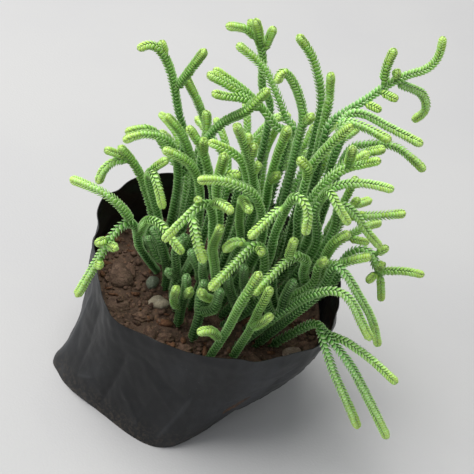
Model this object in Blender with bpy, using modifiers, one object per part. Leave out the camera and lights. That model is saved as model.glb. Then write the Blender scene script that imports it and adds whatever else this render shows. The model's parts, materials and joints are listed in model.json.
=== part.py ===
"""Potted watch chain plant: leafy stems rooted in a black polythene nursery bag of potting soil.

World frame: metres, +Z up, the ground at z = 0 and the origin at the middle of the bag's base.
The bag is a thin shell lofted from a gusseted, box-like base to a round, uneven mouth. The soil
fills it to a freeboard below the rim, and each stem stands in a socket of its own in the soil.
"""

import math
from typing import NamedTuple

import bmesh
import bpy
import numpy as np

MM = 0.001

# Grow bag
BASE_LENGTH = 94 * MM  # the base's long side
BASE_WIDTH = 71 * MM  # the base's short side, the opened gusset
BASE_CORNER_POWER = 4.5  # how square the base's corners are
BASE_TURN = 64.5  # degrees from +X to the base's long side
MOUTH_RADIUS = 48.2 * MM
MOUTH_SHIFT = (8.0 * MM, 3.5 * MM)  # the mouth's middle, from the base's middle
BAG_HEIGHT = 54 * MM  # mean height of the rim
BAG_WALL = 0.8 * MM
DRAIN_HOLE = 5 * MM
DRAIN_HOLE_SPACING = (50 * MM, 24 * MM)  # along the base's long and short sides

# Soil and what lies on it
FREEBOARD = 15 * MM  # from the mean rim down to the soil
SOIL_UNEVENNESS = 1.2 * MM
SOIL_CLEARANCE = 0.7 * MM  # between the soil and the bag
STONE_CLEARANCE = 0.3 * MM  # between a stone and the dent it lies in

# Stems
SHOOT_WIDTH = 3.8 * MM  # across the scale leaves
GROWTH = 1.0  # how far the plant has grown: every leg's length is multiplied by this
ROOTED_DEPTH = 6 * MM
SOCKET_CLEARANCE = 0.3 * MM  # between a rooted stem and the soil
SHOOT_CLEARANCE = 0.7 * MM  # kept between one stem and the next, and between a stem and the rest

BAG_SIDES = 40
BAG_LEVELS = 9
SHOOT_SIDES_SETTING = 1  # bevel_resolution 1 gives six sides
SAMPLE_STEP = 2.5 * MM  # between the points that follow a shoot
BEND_PER_POINT = math.radians(15)  # a shoot's solid has a point for each such bend
LONGEST_SPAN = 18 * MM  # and at least one in each such length
SPREAD_ROUNDS = 160


class Bump(NamedTuple):
    """A local rise of the bag's rim: where, how wide (degrees) and how much (metres)."""

    at: float
    width: float
    rise: float


RIM_TILT = Bump(95, 0, 6.5 * MM)  # the rim's highest side, and how much it rises there
RIM_BUMPS = (
    Bump(2, 22, 6 * MM),
    Bump(155, 35, 5 * MM),
    Bump(-135, 20, -4.5 * MM),
    Bump(-60, 35, 2 * MM),
)
MOUTH_OVAL = Bump(160, 0, 2.8 * MM)  # the mouth's long axis, and how much longer it is
MOUTH_BUMPS = (
    Bump(165, 18, 2.5 * MM),
    Bump(-131, 15, 3 * MM),
    Bump(-20, 20, 1.5 * MM),
    Bump(-70, 30, -2 * MM),
)


class Stone(NamedTuple):
    """A pebble or clod: its place as shares of the mouth's radius, its size and its turn."""

    name: str
    place: tuple
    size: tuple  # length, width and height, mm
    turn: float  # degrees about Z
    sunk: float  # the share of its height that is below the soil
    colour: tuple


STONES = (
    Stone("pebble_pale", (-0.38, -0.34), (8.5, 6, 5), 20, 0.40, (0.50, 0.42, 0.30)),
    Stone("pebble_greenish", (-0.49, -0.08), (7, 5, 5.5), 75, 0.40, (0.35, 0.38, 0.29)),
    Stone("clod_large", (-0.76, -0.14), (14, 11, 7), 100, 0.45, (0.22, 0.14, 0.09)),
    Stone("clod_left", (-0.70, -0.45), (11, 9, 6), 30, 0.45, (0.14, 0.09, 0.06)),
    Stone("pebble_right", (0.79, -0.44), (9, 5, 4), 35, 0.40, (0.42, 0.32, 0.24)),
)


class Side(NamedTuple):
    """A side shoot: the share of the stem's length where it leaves, and its legs."""

    at: float
    legs: tuple


class Stem(NamedTuple):
    """A rooted stem: its root as shares of the mouth's radius, its legs and its side shoots.

    Each leg is a heading in degrees from +X, a rise in degrees above level and a length in mm.
    """

    root: tuple
    legs: tuple
    sides: tuple = ()


STEMS = (
    Stem(
        (-0.46, 0.41),
        ((165, 85, 51), (170, 70, 18), (-175, 70, 16), (-160, 60, 11), (-160, 30, 6), (-150, -30, 5)),
        (
            Side(0.86, ((175, 65, 8),)),
            Side(0.72, ((-30, 70, 12), (-25, 70, 14))),
            Side(0.34, ((35, 70, 20), (175, 70, 13), (180, 55, 16))),
        ),
    ),
    Stem(
        (-0.17, 0.21),
        ((-165, 80, 57), (20, 85, 16), (-15, 60, 17), (-15, 60, 16)),
        (
            Side(0.56, ((100, 65, 12), (150, 70, 8))),
        ),
    ),
    Stem(
        (0.25, 0.04),
        ((95, 85, 75), (-175, 55, 10), (165, 35, 10), (170, 25, 10), (180, 20, 12)),
        (
            Side(0.83, ((-165, 25, 10), (-170, 20, 12))),
            Side(0.80, ((-150, 25, 9), (-165, 10, 7), (-165, 10, 7))),
        ),
    ),
    Stem(
        (0.33, 0.25),
        ((180, 90, 72), (160, 55, 14), (150, 45, 11), (155, 40, 10), (175, 25, 13)),
    ),
    Stem(
        (0.12, 0.54),
        ((120, 85, 69), (175, 65, 15), (155, 75, 12), (165, 60, 7), (180, 55, 10)),
        (
            Side(0.91, ((-160, 40, 8), (-165, 0, 8))),
            Side(0.88, ((-125, 65, 7), (-160, 65, 8))),
            Side(0.87, ((75, 75, 6), (55, 75, 6))),
        ),
    ),
    Stem(
        (0.46, 0.12),
        ((-165, 85, 77), (135, 85, 15), (170, 65, 9), (180, 55, 8), (-165, 35, 5), (-110, -50, 5)),
        (
            Side(0.76, ((-55, 65, 9),)),
        ),
    ),
    Stem(
        (0.54, 0.41),
        ((140, 85, 76), (140, 80, 14), (165, 65, 10), (165, 55, 8), (-170, 45, 10)),
    ),
    Stem(
        (0.62, 0.33),
        ((160, 85, 85), (115, 75, 10), (155, 75, 10)),
    ),
    Stem(
        (0.66, 0.17),
        ((180, 85, 80), (85, 70, 11), (45, 30, 9), (45, 25, 7), (45, 30, 9), (35, 30, 8), (25, 25, 9),
         (40, 55, 6), (115, 75, 8)),
        (
            Side(0.78, ((-165, 80, 9), (60, 80, 8))),
            Side(0.82, ((-100, 75, 6),)),
            Side(0.76, ((-30, 10, 9),)),
            Side(0.82, ((30, -25, 7), (25, -20, 8), (15, -60, 8), (160, -65, 8))),
            Side(0.71, ((-15, 0, 8),)),
        ),
    ),
    Stem(
        (0.62, 0.04),
        ((150, 90, 85), (105, 60, 12), (30, 20, 7), (15, -20, 13), (5, -15, 15)),
        (
            Side(0.63, ((115, 80, 11), (20, -5, 8), (5, -15, 12))),
        ),
    ),
    Stem(
        (0.71, 0.29),
        ((25, 90, 72), (25, 50, 12), (10, 10, 10), (0, -20, 8), (0, -30, 8)),
    ),
    Stem(
        (0.25, -0.21),
        ((-10, 70, 42), (-135, 80, 26), (-135, 85, 21), (0, 75, 13), (0, 65, 13)),
        (
            Side(0.75, ((-105, 65, 8), (-170, 40, 6))),
        ),
    ),
    Stem(
        (0.37, -0.12),
        ((-10, 75, 47), (-135, 75, 22), (20, 75, 13), (20, 50, 9), (20, 25, 7), (0, 35, 6)),
        (
            Side(0.88, ((-110, 75, 12),)),
            Side(0.85, ((35, 40, 6), (30, 45, 6))),
            Side(0.70, ((65, 35, 15), (30, 45, 9), (5, 35, 12))),
        ),
    ),
    Stem(
        (0.41, -0.25),
        ((-15, 75, 52), (-150, 75, 22), (20, 70, 11), (10, 35, 7), (15, 5, 8), (5, 0, 8)),
        (
            Side(0.73, ((-60, 60, 9), (-40, -25, 5), (-15, -40, 9))),
        ),
    ),
    Stem(
        (0.12, -0.29),
        ((-25, 70, 37), (-95, 80, 26), (-75, 75, 20), (-30, 60, 5), (-30, -30, 6), (-55, -70, 9)),
        (
            Side(0.79, ((-145, -40, 6), (-145, -55, 13))),
        ),
    ),
    Stem(
        (0.50, -0.21),
        ((10, 75, 53), (-125, 85, 18), (-10, 0, 6), (-20, -35, 8), (-5, -35, 9)),
        (
            Side(0.84, ((30, 0, 9), (10, 20, 10))),
        ),
    ),
    Stem(
        (0.46, -0.33),
        ((0, 65, 36), (-80, 85, 17), (-70, 75, 12), (-10, 60, 8)),
    ),
    Stem(
        (0.39, -0.41),
        ((-5, 65, 37), (-50, 80, 17), (15, 15, 7), (10, 40, 7), (10, 30, 6)),
        (
            Side(0.74, ((-80, 50, 10),)),
        ),
    ),
    Stem(
        (0.48, -0.46),
        ((-5, 70, 41), (-30, 80, 16), (-20, -5, 7), (-10, -45, 10), (-5, -50, 12), (0, -60, 13)),
    ),
    Stem(
        (0.33, -0.54),
        ((-10, 65, 33), (-20, 60, 16), (-5, 35, 9), (0, -20, 7), (0, -50, 10), (0, -50, 9)),
        (
            Side(0.28, ((-145, 60, 14), (-135, 60, 10))),
            Side(0.34, ((-105, 80, 11), (-55, 80, 10))),
        ),
    ),
    Stem(
        (0.66, -0.08),
        ((10, 60, 27), (-10, 85, 16), (10, 60, 8), (0, -10, 6), (-10, -55, 7), (5, 15, 9), (5, 5, 9)),
        (
            Side(0.79, ((-125, -30, 7),)),
            Side(0.79, ((-20, -65, 8), (-30, -70, 6))),
            Side(0.69, ((15, 50, 7),)),
            Side(0.79, ((-100, 60, 8),)),
        ),
    ),
    Stem(
        (0.62, -0.41),
        ((-10, 60, 24), (-45, 15, 8), (-30, 20, 9), (-10, -15, 12), (-10, -25, 14)),
        (
            Side(0.41, ((-70, 0, 8), (-30, -50, 13), (-15, -50, 15), (-5, -55, 14))),
            Side(0.45, ((-55, 10, 9), (-15, -35, 12), (-5, -50, 18), (-10, -50, 19))),
        ),
    ),
    Stem(
        (-0.48, 0.04),
        ((-115, 55, 13), (-130, 60, 17), (-115, 65, 12), (-130, 40, 7), (-130, -35, 6), (-125, -60, 8),
         (-135, -70, 11), (-160, -75, 14)),
        (
            Side(0.52, ((-150, 55, 12), (180, 25, 9), (165, -5, 13))),
            Side(0.41, ((-70, 60, 19), (-40, 30, 8), (-35, -15, 6), (-15, -35, 8))),
            Side(0.65, ((-130, 0, 7),)),
            Side(0.68, ((-50, 30, 8),)),
            Side(0.75, ((-80, -30, 6),)),
        ),
    ),
    Stem(
        (-0.12, -0.25),
        ((-70, 80, 34), (-110, 75, 19), (-125, 70, 14), (-130, 30, 6), (-135, -40, 7), (-150, -60, 13)),
        (
            Side(0.73, ((-55, 45, 9), (-30, 0, 6))),
            Side(0.78, ((-155, 50, 4),)),
            Side(0.84, ((-55, -25, 5), (-40, -55, 6), (-10, -60, 9))),
            Side(0.19, ((-120, 65, 12), (-155, 65, 11))),
        ),
    ),
    Stem(
        (0.08, -0.21),
        ((-35, 75, 39), (-90, 75, 22), (-150, 65, 17), (-165, 30, 9), (-175, 0, 7), (-170, -15, 7)),
    ),
    Stem(
        (-0.04, -0.37),
        ((-60, 75, 28), (-120, 70, 21), (-100, 75, 19)),
        (
            Side(0.28, ((-140, 60, 12), (-140, 75, 11))),
            Side(0.28, ((-95, 30, 11), (-115, 55, 13))),
        ),
    ),
    Stem(
        (0.04, -0.12),
        ((-55, 80, 38), (-115, 70, 20), (-100, 70, 14), (-65, 15, 10)),
    ),
    Stem(
        (0.17, -0.37),
        ((-30, 65, 29), (-130, 80, 23), (-145, 55, 11), (-130, -40, 10), (-140, -55, 14)),
        (
            Side(0.71, ((-60, 5, 6),)),
            Side(0.73, ((180, 0, 6), (180, -50, 8))),
            Side(0.17, ((-150, 60, 16), (-155, 65, 10))),
            Side(0.25, ((-150, 65, 15), (-135, 75, 11))),
        ),
    ),
    Stem(
        (0.37, -0.33),
        ((-15, 60, 34), (-120, 80, 20), (-135, 45, 11), (-135, -20, 6), (-130, -45, 8), (-140, -60, 8)),
        (
            Side(0.81, ((-100, 85, 12),)),
            Side(0.24, ((-145, 65, 14), (-150, 65, 11))),
        ),
    ),
    Stem(
        (-0.66, 0.25),
        ((-75, 80, 22), (-155, 70, 16), (-155, 65, 11), (-155, 55, 9), (-155, 50, 7)),
        (
            Side(0.85, ((-155, 5, 6), (-165, -50, 7), (-140, -80, 7))),
            Side(0.89, ((-155, 20, 11),)),
        ),
    ),
    Stem(
        (-0.48, 0.29),
        ((-110, 85, 39), (-135, 75, 19), (-155, 55, 9), (-160, 15, 7), (-160, -10, 5), (-155, -35, 6)),
        (
            Side(0.59, ((150, 30, 9), (180, 50, 9), (-160, 5, 6), (-160, -25, 6))),
        ),
    ),
    Stem(
        (-0.56, 0.12),
        ((-90, 80, 26), (-150, 70, 19), (-140, 70, 10), (-65, 45, 8), (-45, -35, 6), (-35, -55, 8)),
        (
            Side(0.70, ((-45, 65, 7), (-5, 55, 7))),
        ),
    ),
    Stem(
        (-0.33, 0.04),
        ((-50, 80, 33), (-125, 80, 21), (-145, 65, 15), (-160, 35, 8), (-170, 15, 6)),
    ),
    Stem(
        (-0.21, 0.12),
        ((-70, 85, 43), (-130, 70, 19), (-165, 65, 14), (-170, 50, 10)),
        (
            Side(0.82, ((-120, 70, 11),)),
        ),
    ),
    Stem(
        (-0.39, 0.25),
        ((-145, 90, 43), (-170, 70, 19), (-170, 55, 9), (-170, 40, 7)),
    ),
    Stem(
        (0.00, -0.04),
        ((-45, 85, 53), (-135, 75, 22), (-165, 40, 10), (-175, 10, 8)),
    ),
    Stem(
        (-0.10, -0.12),
        ((-80, 80, 45), (-145, 75, 23), (-95, 80, 19)),
        (
            Side(0.80, ((-10, 65, 8), (15, -5, 4))),
        ),
    ),
    Stem(
        (0.10, -0.08),
        ((-60, 85, 53), (-120, 70, 23), (-145, 65, 15), (-155, 60, 13)),
        (
            Side(0.80, ((-110, 80, 10),)),
            Side(0.88, ((105, 75, 6),)),
            Side(0.73, ((-15, 85, 7),)),
        ),
    ),
    Stem(
        (0.19, 0.00),
        ((-70, 85, 52), (-105, 75, 18), (-95, 80, 15), (-75, 80, 16)),
        (
            Side(0.69, ((-65, 60, 10),)),
        ),
    ),
    Stem(
        (0.15, -0.75),
        ((-55, 75, 21), (-70, 75, 21), (-15, 80, 11), (0, 80, 8)),
        (
            Side(0.23, ((-135, 50, 11), (-155, -15, 5))),
        ),
    ),
    Stem(
        (0.33, -0.66),
        ((-60, 75, 21), (-80, 75, 18), (25, 85, 12)),
        (
            Side(0.51, ((-60, 55, 9), (-30, 65, 8))),
        ),
    ),
    Stem(
        (-0.02, -0.62),
        ((-90, 85, 11), (-5, 85, 10), (175, 85, 7), (180, 70, 6)),
        (
            Side(0.48, ((-45, 70, 12), (-35, 75, 9))),
        ),
    ),
    Stem(
        (-0.37, -0.12),
        ((-110, 80, 11), (-130, 70, 13), (-165, 65, 9), (160, 35, 5)),
        (
            Side(0.37, ((-30, 70, 10), (20, 85, 11))),
            Side(0.40, ((180, 35, 8), (170, 55, 8))),
        ),
    ),
    Stem(
        (-0.25, -0.33),
        ((-130, 75, 11), (-100, 85, 12), (-160, 75, 11), (15, 85, 8)),
        (
            Side(0.33, ((-5, 70, 11), (-30, 75, 9))),
            Side(0.50, ((-135, 50, 9),)),
        ),
    ),
    Stem(
        (-0.17, -0.50),
        ((-125, 85, 11), (-90, 85, 11), (-170, 80, 8)),
        (
            Side(0.59, ((-50, 60, 10),)),
            Side(0.31, ((-140, 55, 8), (-90, 80, 9))),
        ),
    ),
    Stem(
        (-0.12, 0.58),
        ((95, 75, 29), (115, 45, 17), (135, 30, 13)),
        (
            Side(0.67, ((160, 35, 14), (140, 10, 10))),
            Side(0.42, ((50, 60, 16), (60, 70, 15))),
        ),
    ),
    Stem(
        (0.17, 0.62),
        ((70, 80, 31), (70, 45, 19), (105, 35, 13)),
        (
            Side(0.68, ((45, 25, 15), (35, -10, 12))),
            Side(0.38, ((115, 60, 21), (70, 75, 15))),
            Side(0.63, ((40, 55, 16), (60, 70, 11))),
        ),
    ),
    Stem(
        (0.44, 0.58),
        ((50, 75, 29), (55, 45, 17), (60, 10, 11)),
        (
            Side(0.67, ((25, 30, 13), (25, 0, 9))),
            Side(0.44, ((60, 70, 19), (45, 80, 16))),
        ),
    ),
    Stem(
        (0.71, 0.46),
        ((40, 75, 29), (50, 50, 13), (50, 0, 12)),
        (
            Side(0.64, ((5, 35, 12),)),
            Side(0.46, ((35, 80, 20), (55, 80, 13))),
        ),
    ),
    Stem(
        (0.81, 0.21),
        ((55, 80, 29), (40, 40, 14), (40, 10, 11)),
        (
            Side(0.68, ((0, 5, 10),)),
            Side(0.46, ((80, 70, 16), (40, 70, 14))),
        ),
    ),
    Stem(
        (-0.41, 0.58),
        ((120, 75, 31), (135, 40, 16), (150, 20, 12)),
        (
            Side(0.68, ((-175, 30, 14),)),
        ),
    ),
    Stem(
        (0.00, 0.41),
        ((105, 80, 43), (105, 55, 19), (115, 35, 14)),
        (
            Side(0.71, ((60, 30, 16), (50, 0, 10))),
        ),
    ),
    Stem(
        (0.37, 0.50),
        ((65, 80, 47), (75, 50, 18), (60, 20, 12)),
        (
            Side(0.53, ((145, 60, 18), (120, 75, 13))),
            Side(0.67, ((30, 45, 18), (40, 40, 9))),
        ),
    ),
)


# --- Bag and soil surfaces ------------------------------------------------------------------


def bumps_at(bumps, bearing):
    """The sum of the local rises at each bearing, in metres."""
    total = np.zeros_like(bearing)
    for bump in bumps:
        away = (bearing - bump.at + 180) % 360 - 180
        total += bump.rise * np.exp(-((away / bump.width) ** 2))
    return total


def rim_height(bearing):
    """Height of the rim above the ground at each bearing from the middle, in degrees."""
    tilt = RIM_TILT.rise * np.cos(np.radians(bearing - RIM_TILT.at))
    return BAG_HEIGHT + tilt + bumps_at(RIM_BUMPS, bearing)


def mouth_radius(bearing):
    """Distance from the mouth's middle to the rim at each bearing."""
    oval = MOUTH_OVAL.rise * np.cos(2 * np.radians(bearing - MOUTH_OVAL.at))
    return MOUTH_RADIUS + oval + bumps_at(MOUTH_BUMPS, bearing)


def base_radius(bearing):
    """Distance from the base's middle to its edge, a rectangle with rounded corners."""
    angle = np.radians(bearing - BASE_TURN)
    along = np.abs(np.cos(angle)) / (BASE_LENGTH / 2)
    across = np.abs(np.sin(angle)) / (BASE_WIDTH / 2)
    power = BASE_CORNER_POWER
    return (along**power + across**power) ** (-1 / power)


def bag_point(bearing, level):
    """Points of the bag's outside at each bearing and level, 0 at the base and 1 at the rim."""
    opened = 1 - (1 - level) ** 2
    radius = base_radius(bearing) * (1 - opened) + mouth_radius(bearing) * opened
    angle = np.radians(bearing)
    x = MOUTH_SHIFT[0] * opened + radius * np.cos(angle)
    y = MOUTH_SHIFT[1] * opened + radius * np.sin(angle)
    return np.stack([x, y, level * rim_height(bearing)], axis=-1)


def soil_level():
    """Mean height of the soil above the ground."""
    return BAG_HEIGHT - FREEBOARD


def soil_height(x, y):
    """Height of the uneven soil surface at each place."""
    waves = np.sin(210 * x + 1.0) * np.cos(170 * y - 0.6) + 0.6 * np.sin(330 * y + 140 * x + 2.0)
    return soil_level() + SOIL_UNEVENNESS * waves


def ring_bearings():
    """The bearings of the bag's facets, in degrees."""
    return np.arange(BAG_SIDES) * 360 / BAG_SIDES


def inset_ring(depth, heights):
    """The bag's outline moved in by a depth, at a height for each facet bearing."""
    bearing = ring_bearings()
    profile = np.array([inset_point(bearing, level, depth) for level in np.linspace(0, 1, 25)])
    ring = np.zeros((BAG_SIDES, 3))
    for side, height in enumerate(heights):
        for axis in (0, 1):
            ring[side, axis] = np.interp(height, profile[:, side, 2], profile[:, side, axis])
    ring[:, 2] = heights
    return ring


def inset_point(bearing, level, depth):
    """The bag's outside point moved in by a depth, square to the bag's surface."""
    step = 0.01
    down, up = bag_point(bearing, level - step), bag_point(bearing, level + step)
    back, ahead = bag_point(bearing - 1, level), bag_point(bearing + 1, level)
    normal = np.cross(ahead - back, up - down)
    normal /= np.linalg.norm(normal, axis=-1, keepdims=True)
    return bag_point(bearing, level) - normal * depth


# --- Shoots ---------------------------------------------------------------------------------


def corner_points(start, legs):
    """The points that a shoot passes through: its start and the end of each leg."""
    points = [np.array(start, float)]
    for heading, rise, run in legs:
        level = math.cos(math.radians(rise))
        way = np.array(
            [
                level * math.cos(math.radians(heading)),
                level * math.sin(math.radians(heading)),
                math.sin(math.radians(rise)),
            ]
        )
        points.append(points[-1] + way * run * MM * GROWTH)
    return np.array(points)


def smooth_curve(corners):
    """A smooth curve through the corners, as points about SAMPLE_STEP apart."""
    ends = [2 * corners[0] - corners[1], *corners, 2 * corners[-1] - corners[-2]]
    share = np.linspace(0, 1, 24, endpoint=False)[:, None]
    dense = []
    for a, b, c, d in zip(ends, ends[1:], ends[2:], ends[3:]):
        bend = (2 * a - 5 * b + 4 * c - d) * share**2 + (3 * b - a - 3 * c + d) * share**3
        dense.append((2 * b + (c - a) * share + bend) / 2)
    return resample(np.vstack([*dense, corners[-1:]]), SAMPLE_STEP)


def lengths_along(points):
    """The length of the curve up to each of its points."""
    steps = np.linalg.norm(np.diff(points, axis=0), axis=1)
    return np.concatenate([[0], np.cumsum(steps)])


def point_at(points, length):
    """The point of a curve at a length along it."""
    along = lengths_along(points)
    return np.array([np.interp(length, along, points[:, axis]) for axis in range(3)])


def resample(points, step):
    """The same curve with its points evenly spaced, close to the step apart."""
    along = lengths_along(points)
    count = max(3, int(round(along[-1] / step)) + 1)
    even = np.linspace(0, along[-1], count)
    return np.stack([np.interp(even, along, points[:, axis]) for axis in range(3)], axis=1)


class Shoot:
    """One leafy shoot as a run of points, with the shoot that it grows from."""

    def __init__(self, stem, points, parent=None, join=0):
        self.stem = stem
        self.points = points
        self.parent = parent
        self.join = join  # the parent's point that this shoot leaves from
        self.freedom = np.clip(lengths_along(points) / (3 * SHOOT_WIDTH), 0, 1)

    def move(self, pushes):
        """Moves the points by the pushes; a root stays in the soil, a side shoot on its parent."""
        pushes[:, 2] *= self.freedom
        if self.parent is not None:
            pushes[:, :2] *= self.freedom[:, None]
        self.points = self.points + pushes
        if self.parent is not None:
            self.points += self.parent.points[self.join] - self.points[0]


def grow(number, stem):
    """The shoots of a stem: the stem itself, then its side shoots."""
    x, y = (MOUTH_SHIFT[axis] + stem.root[axis] * MOUTH_RADIUS for axis in (0, 1))
    main = Shoot(number, smooth_curve(corner_points((x, y, soil_level()), stem.legs)))
    shoots = [main]
    for side in stem.sides:
        join = int(round(side.at * (len(main.points) - 1)))
        corners = corner_points(main.points[join], side.legs)
        shoots.append(Shoot(number, smooth_curve(corners), main, join))
    return shoots


def too_close(points, owner, reach):
    """Index pairs of points of different stems that are nearer to each other than the reach."""
    gap = np.linalg.norm(points[:, None] - points[None], axis=2)
    first, second = np.nonzero((gap < reach) & (owner[:, None] < owner[None]))
    return first, second


def push_apart(points, pairs, least, pushes):
    """Adds to each point's push what takes the pairs that are too close the least gap apart."""
    first, second = pairs
    away = points[first] - points[second]
    gap = np.linalg.norm(away, axis=1)
    short = np.clip(least - gap, 0, None) / np.maximum(gap, 1e-6) / 2
    for axis in range(3):
        move = away[:, axis] * short
        pushes[:, axis] += np.bincount(first, move, len(points))
        pushes[:, axis] -= np.bincount(second, move, len(points))


def push_off_bag(points, least, pushes):
    """Adds what keeps each point the least gap from the bag's wall, on the side where it is."""
    offset = points[:, :2] - MOUTH_SHIFT
    radius = np.maximum(np.linalg.norm(offset, axis=1), 1e-6)
    bearing = np.degrees(np.arctan2(offset[:, 1], offset[:, 0]))
    rim = rim_height(bearing)
    level = np.clip(points[:, 2] / rim, 0.3, 1)
    wall = bag_point(bearing, level)[:, :2] - MOUTH_SHIFT
    beyond = radius - (np.linalg.norm(wall, axis=1) - BAG_WALL / 2)
    above = np.clip(points[:, 2] - rim, 0, None)
    gap = np.hypot(beyond, above)
    short = np.clip(least - gap, 0, None) / np.maximum(gap, 1e-6)
    pushes[:, :2] += offset / radius[:, None] * (beyond * short)[:, None]
    pushes[:, 2] += above * short


def push_off_stones(points, pushes):
    """Adds what keeps each point clear of the stones."""
    for stone in STONES:
        middle = stone_middle(stone)
        least = max(stone.size) / 2 * MM + SHOOT_WIDTH / 2 + SHOOT_CLEARANCE
        away = points - middle
        gap = np.linalg.norm(away, axis=1)
        short = np.clip(least - gap, 0, None) / np.maximum(gap, 1e-6)
        pushes += away * short[:, None]


def push_off_soil(points, least, freedom, pushes):
    """Adds what keeps each point but a root above the soil, inside the bag's mouth."""
    inside = np.linalg.norm(points[:, :2] - MOUTH_SHIFT, axis=1) < MOUTH_RADIUS
    low = soil_height(points[:, 0], points[:, 1]) + least - points[:, 2]
    pushes[:, 2] += np.where(inside & (freedom >= 1), np.clip(low, 0, None), 0)


def smoothed(pushes):
    """A shoot's pushes, averaged along it so that it bends and doesn't kink."""
    for _ in range(6):
        padded = np.vstack([pushes[:1], pushes, pushes[-1:]])
        pushes = (padded[:-2] + 2 * padded[1:-1] + padded[2:]) / 4
    return pushes


def spread(shoots):
    """Bends the shoots just enough to keep every stem clear of the others and of the bag."""
    owner = np.concatenate([np.full(len(shoot.points), shoot.stem) for shoot in shoots])
    starts = np.cumsum([0] + [len(shoot.points) for shoot in shoots])
    freedom = np.concatenate([shoot.freedom for shoot in shoots])
    least = SHOOT_WIDTH + SHOOT_CLEARANCE
    for turn in range(SPREAD_ROUNDS):
        points = np.vstack([shoot.points for shoot in shoots])
        if turn % 8 == 0:
            pairs = too_close(points, owner, 2.5 * least)
        pushes = np.zeros_like(points)
        push_apart(points, pairs, least, pushes)
        push_off_bag(points, SHOOT_WIDTH / 2 + SHOOT_CLEARANCE, pushes)
        push_off_stones(points, pushes)
        push_off_soil(points, SHOOT_WIDTH / 2 + SHOOT_CLEARANCE, freedom, pushes)
        for shoot, start, end in zip(shoots, starts, starts[1:]):
            shoot.move(smoothed(pushes[start:end]))


def all_shoots():
    """Every shoot of the plant, spread apart."""
    shoots = []
    for number, stem in enumerate(STEMS):
        shoots += grow(number, stem)
    spread(shoots)
    return shoots


# --- Blender helpers ------------------------------------------------------------------------


def clear_scene():
    """Removes whatever the scene holds."""
    for item in list(bpy.data.objects):
        bpy.data.objects.remove(item, do_unlink=True)


def new_collection(name, hidden=False):
    """A collection in the scene, left out of the render when hidden."""
    collection = bpy.data.collections.new(name)
    collection.hide_render = hidden
    bpy.context.scene.collection.children.link(collection)
    return collection


def new_material(name, colour, roughness, metallic=0.0):
    """A Principled material of one colour."""
    material = bpy.data.materials.new(name)
    material.use_nodes = True
    shader = material.node_tree.nodes["Principled BSDF"]
    shader.inputs["Base Color"].default_value = (*colour, 1.0)
    shader.inputs["Roughness"].default_value = roughness
    shader.inputs["Metallic"].default_value = metallic
    material.diffuse_color = (*colour, 1.0)
    return material


def new_object(name, data, collection, material=None):
    """An object of the data, in the collection and dressed in the material."""
    item = bpy.data.objects.new(name, data)
    collection.objects.link(item)
    if material is not None:
        data.materials.clear()
        data.materials.append(material)
    return item


def as_helper(item):
    """Marks an object as a cutter or a piece to join, which isn't a part itself."""
    item.hide_render = True
    item.display_type = "WIRE"
    return item


def mesh_from_bmesh(name, shape, smooth_angle=40.0):
    """A mesh of the bmesh, with its round stretches shaded smooth."""
    mesh = bpy.data.meshes.new(name)
    shape.to_mesh(mesh)
    shape.free()
    mesh.shade_smooth()
    mesh.set_sharp_from_angle(angle=math.radians(smooth_angle))
    return mesh


def add_boolean(item, operation, other):
    """An EXACT Boolean with another object, or with every object of a collection."""
    modifier = item.modifiers.new(operation.lower(), "BOOLEAN")
    modifier.operation = operation
    modifier.solver = "EXACT"
    if isinstance(other, bpy.types.Collection):
        modifier.operand_type = "COLLECTION"
        modifier.collection = other
    else:
        modifier.object = other


def loft(rings, close_first=True, close_last=True):
    """A bmesh through rings of points of equal count, its ends closed by fans if asked."""
    shape = bmesh.new()
    rows = [[shape.verts.new(point) for point in ring] for ring in rings]
    count = len(rows[0])
    for low, high in zip(rows, rows[1:]):
        for side in range(count):
            after = (side + 1) % count
            shape.faces.new((low[side], low[after], high[after], high[side]))
    for row, wanted in ((rows[0][::-1], close_first), (rows[-1], close_last)):
        if not wanted:
            continue
        middle = shape.verts.new(sum((vert.co for vert in row), row[0].co * 0) / count)
        for side in range(count):
            shape.faces.new((row[side], row[(side + 1) % count], middle))
    return shape


# --- Parts ----------------------------------------------------------------------------------


def build_bag(parts, cutters):
    """The film bag: an open loft with a wall, and drain holes through its base."""
    bearing = ring_bearings()
    rings = [bag_point(bearing, level) for level in np.linspace(0, 1, BAG_LEVELS + 1)]
    mesh = mesh_from_bmesh("grow_bag", loft(rings, close_last=False))
    material = new_material("black_polythene", (0.030, 0.032, 0.034), 0.45)
    bag = new_object("grow_bag", mesh, parts, material)
    wall = bag.modifiers.new("wall", "SOLIDIFY")
    wall.thickness = BAG_WALL
    wall.offset = -1.0
    wall.use_even_offset = True
    for along in (-1, 1):
        for across in (-1, 1):
            add_boolean(bag, "DIFFERENCE", drain_cutter(along, across, cutters))
    return bag


def drain_cutter(along, across, cutters):
    """A rod through the base at one corner of the drain holes' rectangle."""
    turn = math.radians(BASE_TURN)
    reach, width = along * DRAIN_HOLE_SPACING[0] / 2, across * DRAIN_HOLE_SPACING[1] / 2
    shape = bmesh.new()
    bmesh.ops.create_cone(
        shape,
        cap_ends=True,
        segments=16,
        radius1=DRAIN_HOLE / 2,
        radius2=DRAIN_HOLE / 2,
        depth=6 * BAG_WALL,
    )
    cutter = new_object("drain_cutter", mesh_from_bmesh("drain_cutter", shape), cutters)
    cutter.location.x = reach * math.cos(turn) - width * math.sin(turn)
    cutter.location.y = reach * math.sin(turn) + width * math.cos(turn)
    return as_helper(cutter)


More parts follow.
